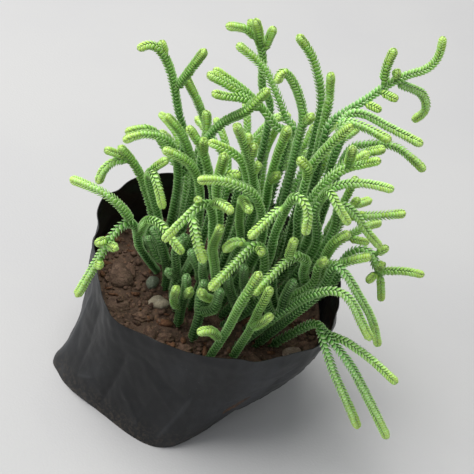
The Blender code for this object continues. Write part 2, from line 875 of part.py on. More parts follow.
def build_soil(parts, sockets):
    """The bag's filling, with an uneven top and a socket or dent for each piece set in it."""
    depth = BAG_WALL + SOIL_CLEARANCE
    level_edge = inset_ring(depth, np.full(BAG_SIDES, soil_level()))
    top = soil_height(level_edge[:, 0], level_edge[:, 1])
    rings = [inset_ring(depth, depth + (top - depth) * share) for share in np.linspace(0, 1, 7)]
    edge = rings[-1]
    middle = edge.mean(axis=0)
    for share in (0.8, 0.6, 0.4, 0.2):
        rings.append(on_soil(middle + (edge - middle) * share))
    mesh = mesh_from_bmesh("potting_soil", loft(rings))
    material = new_material("potting_mix", (0.060, 0.040, 0.028), 0.95)
    soil = new_object("potting_soil", mesh, parts, material)
    add_boolean(soil, "DIFFERENCE", sockets)
    return soil


def on_soil(points):
    """The points with their height set to the soil's surface."""
    placed = np.array(points)
    placed[:, 2] = soil_height(placed[:, 0], placed[:, 1])
    return placed


def stone_middle(stone):
    """The middle of a stone, lying in its dent in the soil."""
    x, y = (MOUTH_SHIFT[axis] + stone.place[axis] * MOUTH_RADIUS for axis in (0, 1))
    height = stone.size[2] * MM
    return np.array([x, y, float(soil_height(x, y)) + height * (0.5 - stone.sunk)])


def stone_mesh(name, stone, margin=0.0):
    """A lumpy rounded stone about its own middle, grown by a margin all round."""
    shape = bmesh.new()
    bmesh.ops.create_icosphere(shape, subdivisions=2, radius=1.0)
    phase = stone.turn / 10
    turn = math.radians(stone.turn)
    for vert in shape.verts:
        x, y, z = vert.co
        lump = 1 + 0.10 * math.sin(3 * x + phase) * math.cos(2.5 * y - phase) - 0.08 * z * z
        size = [half * MM / 2 * lump + margin for half in stone.size]
        flat_x, flat_y = x * size[0], y * size[1]
        vert.co.x = flat_x * math.cos(turn) - flat_y * math.sin(turn)
        vert.co.y = flat_x * math.sin(turn) + flat_y * math.cos(turn)
        vert.co.z = z * size[2]
    return mesh_from_bmesh(name, shape)


def build_stone(stone, parts, sockets):
    """A stone, and the dent that the soil leaves for it."""
    material = new_material(stone.name, stone.colour, 0.85)
    middle = stone_middle(stone)
    item = new_object(stone.name, stone_mesh(stone.name, stone), parts, material)
    item.location = middle
    dent = new_object("dent", stone_mesh("dent", stone, STONE_CLEARANCE), sockets)
    dent.location = middle
    as_helper(dent)


def tube(name, points, radii, collection):
    """A closed tube along the points, six-sided, made a mesh with its caps welded."""
    curve = bpy.data.curves.new(name, "CURVE")
    curve.dimensions = "3D"
    curve.bevel_depth = 1.0
    curve.bevel_resolution = SHOOT_SIDES_SETTING
    curve.use_fill_caps = True
    spline = curve.splines.new("POLY")
    spline.points.add(len(points) - 1)
    for point, place, radius in zip(spline.points, points, radii):
        point.co = (*place, 1.0)
        point.radius = radius
    drawn = bpy.data.objects.new(name, curve)
    collection.objects.link(drawn)
    bpy.context.view_layer.update()
    mesh = bpy.data.meshes.new_from_object(drawn.evaluated_get(bpy.context.evaluated_depsgraph_get()))
    bpy.data.objects.remove(drawn)
    shape = bmesh.new()
    shape.from_mesh(mesh)
    bpy.data.meshes.remove(mesh)
    bmesh.ops.remove_doubles(shape, verts=shape.verts, dist=1e-6)
    return new_object(name, mesh_from_bmesh(name, shape, 70.0), collection)


def bend_stations(points, end):
    """Lengths along a curve where its solid needs a point: close together where it bends."""
    steps = np.diff(points, axis=0)
    along = lengths_along(points)
    stations, turned = [0.0], 0.0
    for index in range(1, len(steps)):
        before, after = steps[index - 1], steps[index]
        size = np.linalg.norm(before) * np.linalg.norm(after)
        turned += math.acos(np.clip(before @ after / size, -1, 1))
        far = along[index] - stations[-1]
        if along[index] < end - SHOOT_WIDTH / 2 and (turned > BEND_PER_POINT or far > LONGEST_SPAN):
            stations.append(along[index])
            turned = 0.0
    return stations


def shoot_outline(points, sunk=0.0):
    """The points and radii of a shoot's solid, thinner at its foot and rounded at its tip."""
    along = lengths_along(points)
    tip = min(0.45 * SHOOT_WIDTH, along[-1] / 3)
    stations = [*bend_stations(points, along[-1] - tip), along[-1] - tip, along[-1]]
    places = [point_at(points, station) for station in stations]
    radii = [SHOOT_WIDTH / 2] * (len(stations) - 1) + [SHOOT_WIDTH / 4]
    if sunk:
        way = (places[1] - places[0]) / np.linalg.norm(places[1] - places[0])
        places.insert(0, places[0] - way * sunk)
        radii.insert(0, SHOOT_WIDTH / 2)
    return places, radii


def build_stem(number, shoots, parts, helpers, sockets, material):
    """One stem with its side shoots joined on, and the socket that the soil leaves for it."""
    name = f"stem_{number + 1:02d}"
    main, *sides = shoots
    places, radii = shoot_outline(main.points, ROOTED_DEPTH)
    stem = tube(name, places, radii, parts)
    stem.data.materials.append(material)
    for side in sides:
        piece = tube("side_shoot", *shoot_outline(side.points), helpers)
        piece.data.materials.append(material)
        add_boolean(stem, "UNION", as_helper(piece))
    foot, ground, above = places[:3]
    way = (ground - foot) / np.linalg.norm(ground - foot)
    radius = SHOOT_WIDTH / 2 + SOCKET_CLEARANCE / math.cos(math.pi / 6)
    socket = tube("socket", [foot - way * SOCKET_CLEARANCE, ground, above], [radius] * 3, sockets)
    as_helper(socket)


def main():
    """Builds every part of the potted plant."""
    clear_scene()
    parts = new_collection("potted_watch_chain_plant")
    cutters = new_collection("cutters", hidden=True)
    helpers = new_collection("joined_side_shoots", hidden=True)
    sockets = new_collection("soil_sockets", hidden=True)
    build_bag(parts, cutters)
    for stone in STONES:
        build_stone(stone, parts, sockets)
    leaf = new_material("scale_leaves", (0.20, 0.36, 0.12), 0.6)
    shoots = all_shoots()
    for number in range(len(STEMS)):
        own = [shoot for shoot in shoots if shoot.stem == number]
        build_stem(number, own, parts, helpers, sockets, leaf)
    build_soil(parts, sockets)


main()
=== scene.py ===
"""Potted watch chain plant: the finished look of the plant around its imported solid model.

World frame: metres, +Z up, the ground at z = 0 and the origin at the middle of the bag's base.
Each leafy stem, the film bag, the potting mix and the stones take the place of the plain solid
of the same piece. The shoots follow the same legs and the same spreading as those solids do.
"""

import json
import logging
import math
from dataclasses import dataclass, field
from enum import Enum
from typing import Any, NamedTuple

import bpy
import numpy as np
from mathutils import Matrix, Vector

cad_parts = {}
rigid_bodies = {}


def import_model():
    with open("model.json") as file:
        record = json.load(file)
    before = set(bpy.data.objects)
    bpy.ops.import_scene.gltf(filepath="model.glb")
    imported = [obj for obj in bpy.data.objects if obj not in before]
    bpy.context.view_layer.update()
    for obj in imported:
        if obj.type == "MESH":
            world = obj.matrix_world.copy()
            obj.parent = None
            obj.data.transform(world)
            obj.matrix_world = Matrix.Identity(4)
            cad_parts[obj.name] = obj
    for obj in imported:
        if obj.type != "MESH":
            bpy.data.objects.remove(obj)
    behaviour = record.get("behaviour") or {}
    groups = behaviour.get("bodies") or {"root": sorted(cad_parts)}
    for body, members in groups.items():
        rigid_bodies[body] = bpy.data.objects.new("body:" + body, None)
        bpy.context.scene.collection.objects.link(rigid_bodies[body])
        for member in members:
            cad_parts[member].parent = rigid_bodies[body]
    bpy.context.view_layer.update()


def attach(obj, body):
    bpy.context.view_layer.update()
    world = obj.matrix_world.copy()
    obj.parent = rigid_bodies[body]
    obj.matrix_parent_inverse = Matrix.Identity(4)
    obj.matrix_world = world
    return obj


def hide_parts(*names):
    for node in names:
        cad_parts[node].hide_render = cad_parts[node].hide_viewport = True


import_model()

LOG = logging.getLogger("potted_plant")
MM = 0.001
BODY = "root"

TINY = 1e-6


def bearing_from(bearing: Any, middle: float) -> Any:
    """How far bearings lie from a middle one, in degrees between -180 and 180."""
    return (bearing - middle + 180) % 360 - 180


def bell(away: Any, width: float) -> Any:
    """1 at the middle, falling smoothly to about a third this width away."""
    return np.exp(-((away / width) ** 2))


# --- The bag's form ---------------------------------------------------------------------------


class Bump(NamedTuple):
    """A local rise: its bearing and width in degrees, and how much it rises, in metres."""

    at: float
    width: float
    rise: float

    def rise_at(self, bearing: Any) -> Any:
        """How much it rises at each bearing."""
        return self.rise * bell(bearing_from(bearing, self.at), self.width)


class Stone(NamedTuple):
    """A pebble or clod: its place as shares of the mouth's radius, its size in mm and its turn.

    It lies sunk in the soil by a share of its height.
    """

    name: str
    place: tuple[float, float]
    size: tuple[float, float, float]
    turn: float
    sunk: float


class Side(NamedTuple):
    """A side shoot: the share of the stem's length where it leaves, and its legs."""

    at: float
    legs: tuple


class Stem(NamedTuple):
    """A rooted stem: its root as shares of the mouth's radius, its legs and its side shoots.

    Each leg is a heading in degrees from +X, a rise in degrees above level and a length in mm.
    """

    root: tuple[float, float]
    legs: tuple
    sides: tuple = ()


STONES = (
    Stone("pebble_pale", (-0.38, -0.34), (8.5, 6, 5), 20, 0.40),
    Stone("pebble_greenish", (-0.49, -0.08), (7, 5, 5.5), 75, 0.40),
    Stone("clod_large", (-0.76, -0.14), (14, 11, 7), 100, 0.45),
    Stone("clod_left", (-0.70, -0.45), (11, 9, 6), 30, 0.45),
    Stone("pebble_right", (0.79, -0.44), (9, 5, 4), 35, 0.40),
)

STEMS = (
    Stem(
        (-0.46, 0.41),
        ((165, 85, 51), (170, 70, 18), (-175, 70, 16), (-160, 60, 11), (-160, 30, 6), (-150, -30, 5)),
        (
            Side(0.86, ((175, 65, 8),)),
            Side(0.72, ((-30, 70, 12), (-25, 70, 14))),
            Side(0.34, ((35, 70, 20), (175, 70, 13), (180, 55, 16))),
        ),
    ),
    Stem(
        (-0.17, 0.21),
        ((-165, 80, 57), (20, 85, 16), (-15, 60, 17), (-15, 60, 16)),
        (
            Side(0.56, ((100, 65, 12), (150, 70, 8))),
        ),
    ),
    Stem(
        (0.25, 0.04),
        ((95, 85, 75), (-175, 55, 10), (165, 35, 10), (170, 25, 10), (180, 20, 12)),
        (
            Side(0.83, ((-165, 25, 10), (-170, 20, 12))),
            Side(0.80, ((-150, 25, 9), (-165, 10, 7), (-165, 10, 7))),
        ),
    ),
    Stem(
        (0.33, 0.25),
        ((180, 90, 72), (160, 55, 14), (150, 45, 11), (155, 40, 10), (175, 25, 13)),
    ),
    Stem(
        (0.12, 0.54),
        ((120, 85, 69), (175, 65, 15), (155, 75, 12), (165, 60, 7), (180, 55, 10)),
        (
            Side(0.91, ((-160, 40, 8), (-165, 0, 8))),
            Side(0.88, ((-125, 65, 7), (-160, 65, 8))),
            Side(0.87, ((75, 75, 6), (55, 75, 6))),
        ),
    ),
    Stem(
        (0.46, 0.12),
        ((-165, 85, 77), (135, 85, 15), (170, 65, 9), (180, 55, 8), (-165, 35, 5), (-110, -50, 5)),
        (
            Side(0.76, ((-55, 65, 9),)),
        ),
    ),
    Stem(
        (0.54, 0.41),
        ((140, 85, 76), (140, 80, 14), (165, 65, 10), (165, 55, 8), (-170, 45, 10)),
    ),
    Stem(
        (0.62, 0.33),
        ((160, 85, 85), (115, 75, 10), (155, 75, 10)),
    ),
    Stem(
        (0.66, 0.17),
        ((180, 85, 80), (85, 70, 11), (45, 30, 9), (45, 25, 7), (45, 30, 9), (35, 30, 8), (25, 25, 9),
         (40, 55, 6), (115, 75, 8)),
        (
            Side(0.78, ((-165, 80, 9), (60, 80, 8))),
            Side(0.82, ((-100, 75, 6),)),
            Side(0.76, ((-30, 10, 9),)),
            Side(0.82, ((30, -25, 7), (25, -20, 8), (15, -60, 8), (160, -65, 8))),
            Side(0.71, ((-15, 0, 8),)),
        ),
    ),
    Stem(
        (0.62, 0.04),
        ((150, 90, 85), (105, 60, 12), (30, 20, 7), (15, -20, 13), (5, -15, 15)),
        (
            Side(0.63, ((115, 80, 11), (20, -5, 8), (5, -15, 12))),
        ),
    ),
    Stem(
        (0.71, 0.29),
        ((25, 90, 72), (25, 50, 12), (10, 10, 10), (0, -20, 8), (0, -30, 8)),
    ),
    Stem(
        (0.25, -0.21),
        ((-10, 70, 42), (-135, 80, 26), (-135, 85, 21), (0, 75, 13), (0, 65, 13)),
        (
            Side(0.75, ((-105, 65, 8), (-170, 40, 6))),
        ),
    ),
    Stem(
        (0.37, -0.12),
        ((-10, 75, 47), (-135, 75, 22), (20, 75, 13), (20, 50, 9), (20, 25, 7), (0, 35, 6)),
        (
            Side(0.88, ((-110, 75, 12),)),
            Side(0.85, ((35, 40, 6), (30, 45, 6))),
            Side(0.70, ((65, 35, 15), (30, 45, 9), (5, 35, 12))),
        ),
    ),
    Stem(
        (0.41, -0.25),
        ((-15, 75, 52), (-150, 75, 22), (20, 70, 11), (10, 35, 7), (15, 5, 8), (5, 0, 8)),
        (
            Side(0.73, ((-60, 60, 9), (-40, -25, 5), (-15, -40, 9))),
        ),
    ),
    Stem(
        (0.12, -0.29),
        ((-25, 70, 37), (-95, 80, 26), (-75, 75, 20), (-30, 60, 5), (-30, -30, 6), (-55, -70, 9)),
        (
            Side(0.79, ((-145, -40, 6), (-145, -55, 13))),
        ),
    ),
    Stem(
        (0.50, -0.21),
        ((10, 75, 53), (-125, 85, 18), (-10, 0, 6), (-20, -35, 8), (-5, -35, 9)),
        (
            Side(0.84, ((30, 0, 9), (10, 20, 10))),
        ),
    ),
    Stem(
        (0.46, -0.33),
        ((0, 65, 36), (-80, 85, 17), (-70, 75, 12), (-10, 60, 8)),
    ),
    Stem(
        (0.39, -0.41),
        ((-5, 65, 37), (-50, 80, 17), (15, 15, 7), (10, 40, 7), (10, 30, 6)),
        (
            Side(0.74, ((-80, 50, 10),)),
        ),
    ),
    Stem(
        (0.48, -0.46),
        ((-5, 70, 41), (-30, 80, 16), (-20, -5, 7), (-10, -45, 10), (-5, -50, 12), (0, -60, 13)),
    ),
    Stem(
        (0.33, -0.54),
        ((-10, 65, 33), (-20, 60, 16), (-5, 35, 9), (0, -20, 7), (0, -50, 10), (0, -50, 9)),
        (
            Side(0.28, ((-145, 60, 14), (-135, 60, 10))),
            Side(0.34, ((-105, 80, 11), (-55, 80, 10))),
        ),
    ),
    Stem(
        (0.66, -0.08),
        ((10, 60, 27), (-10, 85, 16), (10, 60, 8), (0, -10, 6), (-10, -55, 7), (5, 15, 9), (5, 5, 9)),
        (
            Side(0.79, ((-125, -30, 7),)),
            Side(0.79, ((-20, -65, 8), (-30, -70, 6))),
            Side(0.69, ((15, 50, 7),)),
            Side(0.79, ((-100, 60, 8),)),
        ),
    ),
    Stem(
        (0.62, -0.41),
        ((-10, 60, 24), (-45, 15, 8), (-30, 20, 9), (-10, -15, 12), (-10, -25, 14)),
        (
            Side(0.41, ((-70, 0, 8), (-30, -50, 13), (-15, -50, 15), (-5, -55, 14))),
            Side(0.45, ((-55, 10, 9), (-15, -35, 12), (-5, -50, 18), (-10, -50, 19))),
        ),
    ),
    Stem(
        (-0.48, 0.04),
        ((-115, 55, 13), (-130, 60, 17), (-115, 65, 12), (-130, 40, 7), (-130, -35, 6), (-125, -60, 8),
         (-135, -70, 11), (-160, -75, 14)),
        (
            Side(0.52, ((-150, 55, 12), (180, 25, 9), (165, -5, 13))),
            Side(0.41, ((-70, 60, 19), (-40, 30, 8), (-35, -15, 6), (-15, -35, 8))),
            Side(0.65, ((-130, 0, 7),)),
            Side(0.68, ((-50, 30, 8),)),
            Side(0.75, ((-80, -30, 6),)),
        ),
    ),
    Stem(
        (-0.12, -0.25),
        ((-70, 80, 34), (-110, 75, 19), (-125, 70, 14), (-130, 30, 6), (-135, -40, 7), (-150, -60, 13)),
        (
            Side(0.73, ((-55, 45, 9), (-30, 0, 6))),
            Side(0.78, ((-155, 50, 4),)),
            Side(0.84, ((-55, -25, 5), (-40, -55, 6), (-10, -60, 9))),
            Side(0.19, ((-120, 65, 12), (-155, 65, 11))),
        ),
    ),
    Stem(
        (0.08, -0.21),
        ((-35, 75, 39), (-90, 75, 22), (-150, 65, 17), (-165, 30, 9), (-175, 0, 7), (-170, -15, 7)),
    ),
    Stem(
        (-0.04, -0.37),
        ((-60, 75, 28), (-120, 70, 21), (-100, 75, 19)),
        (
            Side(0.28, ((-140, 60, 12), (-140, 75, 11))),
            Side(0.28, ((-95, 30, 11), (-115, 55, 13))),
        ),
    ),
    Stem(
        (0.04, -0.12),
        ((-55, 80, 38), (-115, 70, 20), (-100, 70, 14), (-65, 15, 10)),
    ),
    Stem(
        (0.17, -0.37),
        ((-30, 65, 29), (-130, 80, 23), (-145, 55, 11), (-130, -40, 10), (-140, -55, 14)),
        (
            Side(0.71, ((-60, 5, 6),)),
            Side(0.73, ((180, 0, 6), (180, -50, 8))),
            Side(0.17, ((-150, 60, 16), (-155, 65, 10))),
            Side(0.25, ((-150, 65, 15), (-135, 75, 11))),
        ),
    ),
    Stem(
        (0.37, -0.33),
        ((-15, 60, 34), (-120, 80, 20), (-135, 45, 11), (-135, -20, 6), (-130, -45, 8), (-140, -60, 8)),
        (
            Side(0.81, ((-100, 85, 12),)),
            Side(0.24, ((-145, 65, 14), (-150, 65, 11))),
        ),
    ),
    Stem(
        (-0.66, 0.25),
        ((-75, 80, 22), (-155, 70, 16), (-155, 65, 11), (-155, 55, 9), (-155, 50, 7)),
        (
            Side(0.85, ((-155, 5, 6), (-165, -50, 7), (-140, -80, 7))),
            Side(0.89, ((-155, 20, 11),)),
        ),
    ),
    Stem(
        (-0.48, 0.29),
        ((-110, 85, 39), (-135, 75, 19), (-155, 55, 9), (-160, 15, 7), (-160, -10, 5), (-155, -35, 6)),
        (
            Side(0.59, ((150, 30, 9), (180, 50, 9), (-160, 5, 6), (-160, -25, 6))),
        ),
    ),
    Stem(
        (-0.56, 0.12),
        ((-90, 80, 26), (-150, 70, 19), (-140, 70, 10), (-65, 45, 8), (-45, -35, 6), (-35, -55, 8)),
        (
            Side(0.70, ((-45, 65, 7), (-5, 55, 7))),
        ),
    ),
    Stem(
        (-0.33, 0.04),
        ((-50, 80, 33), (-125, 80, 21), (-145, 65, 15), (-160, 35, 8), (-170, 15, 6)),
    ),
    Stem(
        (-0.21, 0.12),
        ((-70, 85, 43), (-130, 70, 19), (-165, 65, 14), (-170, 50, 10)),
        (
            Side(0.82, ((-120, 70, 11),)),
        ),
    ),
    Stem(
        (-0.39, 0.25),
        ((-145, 90, 43), (-170, 70, 19), (-170, 55, 9), (-170, 40, 7)),
    ),
    Stem(
        (0.00, -0.04),
        ((-45, 85, 53), (-135, 75, 22), (-165, 40, 10), (-175, 10, 8)),
    ),
    Stem(
        (-0.10, -0.12),
        ((-80, 80, 45), (-145, 75, 23), (-95, 80, 19)),
        (
            Side(0.80, ((-10, 65, 8), (15, -5, 4))),
        ),
    ),
    Stem(
        (0.10, -0.08),
        ((-60, 85, 53), (-120, 70, 23), (-145, 65, 15), (-155, 60, 13)),
        (
            Side(0.80, ((-110, 80, 10),)),
            Side(0.88, ((105, 75, 6),)),
            Side(0.73, ((-15, 85, 7),)),
        ),
    ),
    Stem(
        (0.19, 0.00),
        ((-70, 85, 52), (-105, 75, 18), (-95, 80, 15), (-75, 80, 16)),
        (
            Side(0.69, ((-65, 60, 10),)),
        ),
    ),
    Stem(
        (0.15, -0.75),
        ((-55, 75, 21), (-70, 75, 21), (-15, 80, 11), (0, 80, 8)),
        (
            Side(0.23, ((-135, 50, 11), (-155, -15, 5))),
        ),
    ),
    Stem(
        (0.33, -0.66),
        ((-60, 75, 21), (-80, 75, 18), (25, 85, 12)),
        (
            Side(0.51, ((-60, 55, 9), (-30, 65, 8))),
        ),
    ),
    Stem(
        (-0.02, -0.62),
        ((-90, 85, 11), (-5, 85, 10), (175, 85, 7), (180, 70, 6)),
        (
            Side(0.48, ((-45, 70, 12), (-35, 75, 9))),
        ),
    ),
    Stem(
        (-0.37, -0.12),
        ((-110, 80, 11), (-130, 70, 13), (-165, 65, 9), (160, 35, 5)),
        (
            Side(0.37, ((-30, 70, 10), (20, 85, 11))),
            Side(0.40, ((180, 35, 8), (170, 55, 8))),
        ),
    ),
    Stem(
        (-0.25, -0.33),
        ((-130, 75, 11), (-100, 85, 12), (-160, 75, 11), (15, 85, 8)),
        (
            Side(0.33, ((-5, 70, 11), (-30, 75, 9))),
            Side(0.50, ((-135, 50, 9),)),
        ),
    ),
    Stem(
        (-0.17, -0.50),
        ((-125, 85, 11), (-90, 85, 11), (-170, 80, 8)),
        (
            Side(0.59, ((-50, 60, 10),)),
            Side(0.31, ((-140, 55, 8), (-90, 80, 9))),
        ),
    ),
    Stem(
        (-0.12, 0.58),
        ((95, 75, 29), (115, 45, 17), (135, 30, 13)),
        (
            Side(0.67, ((160, 35, 14), (140, 10, 10))),
            Side(0.42, ((50, 60, 16), (60, 70, 15))),
        ),
    ),
    Stem(
        (0.17, 0.62),
        ((70, 80, 31), (70, 45, 19), (105, 35, 13)),
        (
            Side(0.68, ((45, 25, 15), (35, -10, 12))),
            Side(0.38, ((115, 60, 21), (70, 75, 15))),
            Side(0.63, ((40, 55, 16), (60, 70, 11))),
        ),
    ),
    Stem(
        (0.44, 0.58),
        ((50, 75, 29), (55, 45, 17), (60, 10, 11)),
        (
            Side(0.67, ((25, 30, 13), (25, 0, 9))),
            Side(0.44, ((60, 70, 19), (45, 80, 16))),
        ),
    ),
    Stem(
        (0.71, 0.46),
        ((40, 75, 29), (50, 50, 13), (50, 0, 12)),
        (
            Side(0.64, ((5, 35, 12),)),
            Side(0.46, ((35, 80, 20), (55, 80, 13))),
        ),
    ),
    Stem(
        (0.81, 0.21),
        ((55, 80, 29), (40, 40, 14), (40, 10, 11)),
        (
            Side(0.68, ((0, 5, 10),)),
            Side(0.46, ((80, 70, 16), (40, 70, 14))),
        ),
    ),
    Stem(
        (-0.41, 0.58),
        ((120, 75, 31), (135, 40, 16), (150, 20, 12)),
        (
            Side(0.68, ((-175, 30, 14),)),
        ),
    ),
    Stem(
        (0.00, 0.41),
        ((105, 80, 43), (105, 55, 19), (115, 35, 14)),
        (
            Side(0.71, ((60, 30, 16), (50, 0, 10))),
        ),
    ),
    Stem(
        (0.37, 0.50),
        ((65, 80, 47), (75, 50, 18), (60, 20, 12)),
        (
            Side(0.53, ((145, 60, 18), (120, 75, 13))),
            Side(0.67, ((30, 45, 18), (40, 40, 9))),
        ),
    ),
)


@dataclass(frozen=True)
class BagForm:
    """The bag's outside as a surface over bearing and level, and the soil that fills it.

    The tilt and the oval are waves round the rim, so their bumps' widths aren't used.
    """

    base_length: float = 94 * MM
    base_width: float = 71 * MM
    corner_power: float = 4.5
    base_turn: float = 64.5
    mouth: float = 48.2 * MM
    shift: tuple[float, float] = (8.0 * MM, 3.5 * MM)
    height: float = 54 * MM
    wall: float = 0.8 * MM
    freeboard: float = 15 * MM
    unevenness: float = 1.2 * MM
    tilt: Bump = Bump(95, 0, 6.5 * MM)
    rim_bumps: tuple[Bump, ...] = (
        Bump(2, 22, 6 * MM),
        Bump(155, 35, 5 * MM),
        Bump(-135, 20, -4.5 * MM),
        Bump(-60, 35, 2 * MM),
    )
    oval: Bump = Bump(160, 0, 2.8 * MM)
    mouth_bumps: tuple[Bump, ...] = (
        Bump(165, 18, 2.5 * MM),
        Bump(-131, 15, 3 * MM),
        Bump(-20, 20, 1.5 * MM),
        Bump(-70, 30, -2 * MM),
    )

    @staticmethod
    def bumps_at(bumps: tuple[Bump, ...], bearing: np.ndarray) -> np.ndarray:
        """The sum of the local rises at each bearing, in metres.

        Args:
            bumps: the local rises.
            bearing: bearings from the middle, in degrees.

        Returns:
            One sum for each bearing.
        """
        total = np.zeros_like(bearing)
        for bump in bumps:
            total += bump.rise_at(bearing)
        return total

    def rim(self, bearing: np.ndarray) -> np.ndarray:
        """Height of the rim above the ground at each bearing."""
        tilt = self.tilt.rise * np.cos(np.radians(bearing - self.tilt.at))
        return self.height + tilt + self.bumps_at(self.rim_bumps, bearing)

    def mouth_radius(self, bearing: np.ndarray) -> np.ndarray:
        """Distance from the mouth's middle to the rim at each bearing."""
        oval = self.oval.rise * np.cos(2 * np.radians(bearing - self.oval.at))
        return self.mouth + oval + self.bumps_at(self.mouth_bumps, bearing)

    def base_radius(self, bearing: np.ndarray) -> np.ndarray:
        """Distance from the base's middle to its edge, a rectangle with rounded corners.

        Args:
            bearing: bearings from the middle, in degrees.

        Returns:
            One distance for each bearing.
        """
        angle = np.radians(bearing - self.base_turn)
        along = np.abs(np.cos(angle)) / (self.base_length / 2)
        across = np.abs(np.sin(angle)) / (self.base_width / 2)
        power = self.corner_power
        return (along**power + across**power) ** (-1 / power)

    def point(self, bearing: np.ndarray, level: Any) -> np.ndarray:
        """Points of the bag's outside, level 0 at the base and 1 at the rim.

        Args:
            bearing: bearings from the middle, in degrees.
            level: the level of each point, or one for all.

        Returns:
            The points, one row each.
        """
        opened = 1 - (1 - level) ** 2
        radius = self.base_radius(bearing) * (1 - opened) + self.mouth_radius(bearing) * opened
        angle = np.radians(bearing)
        x = self.shift[0] * opened + radius * np.cos(angle)
        y = self.shift[1] * opened + radius * np.sin(angle)
        return np.stack([x, y, level * self.rim(bearing)], axis=-1)

    def normal(self, bearing: np.ndarray, level: Any) -> np.ndarray:
        """Outward normals of the bag's outside.

        Args:
            bearing: bearings from the middle, in degrees.
            level: the level of each point, or one for all.

        Returns:
            Unit normals, one row each.
        """
        rise = 0.01
        down, up = self.point(bearing, level - rise), self.point(bearing, level + rise)
        back, ahead = self.point(bearing - 1, level), self.point(bearing + 1, level)
        normal = np.cross(ahead - back, up - down)
        return normal / np.linalg.norm(normal, axis=-1, keepdims=True)

    @property
    def soil_level(self) -> float:
        """Mean height of the soil above the ground."""
        return self.height - self.freeboard

    def soil_height(self, x: Any, y: Any) -> Any:
        """Height of the uneven soil surface at each place.

        Args:
            x: how far right of the origin, in metres.
            y: how far behind the origin, in metres.

        Returns:
            The heights above the ground.
        """
        waves = np.sin(210 * x + 1.0) * np.cos(170 * y - 0.6)
        waves = waves + 0.6 * np.sin(330 * y + 140 * x + 2.0)
        return self.soil_level + self.unevenness * waves

    def stone_middle(self, stone: Stone) -> np.ndarray:
        """The middle of a stone, lying in its dent in the soil.

        Args:
            stone: the pebble or clod.

        Returns:
            Its middle, in metres.
        """
        x, y = (self.shift[axis] + stone.place[axis] * self.mouth for axis in (0, 1))
        height = stone.size[2] * MM
        return np.array([x, y, float(self.soil_height(x, y)) + height * (0.5 - stone.sunk)])


FORM = BagForm()

# --- The shoots' paths ------------------------------------------------------------------------


def lengths_along(points: np.ndarray) -> np.ndarray:
    """The length of the curve up to each of its points."""
    steps = np.linalg.norm(np.diff(points, axis=0), axis=1)
    return np.concatenate([[0], np.cumsum(steps)])


def at_lengths(points: np.ndarray, wanted: np.ndarray) -> np.ndarray:
    """The points of a curve at the wanted lengths along it."""
    along = lengths_along(points)
    return np.stack([np.interp(wanted, along, points[:, axis]) for axis in range(3)], axis=-1)


class Shoot:
    """One leafy shoot as a run of points, with the shoot that it grows from."""

    def __init__(self, stem: int, points: np.ndarray, parent: Any = None, join: int = 0) -> None:
        """Takes the shoot's place.

        Args:
            stem: the number of the stem that it belongs to.
            points: its points, from root or joint to tip.
            parent: the shoot that it grows from, if any.
            join: the parent's point that it leaves from.
        """
        self.stem = stem
        self.points = points
        self.parent = parent
        self.join = join
        self.freedom = np.clip(lengths_along(points) / Layout.held, 0, 1)

    def move(self, pushes: np.ndarray) -> None:
        """Moves the points by the pushes; a root stays in the soil, a side shoot on its parent.

        Args:
            pushes: the push of each of its points, one row each.
        """
        pushes[:, 2] *= self.freedom
        if self.parent is not None:
            pushes[:, :2] *= self.freedom[:, None]
        self.points = self.points + pushes
        if self.parent is not None:
            self.points += self.parent.points[self.join] - self.points[0]


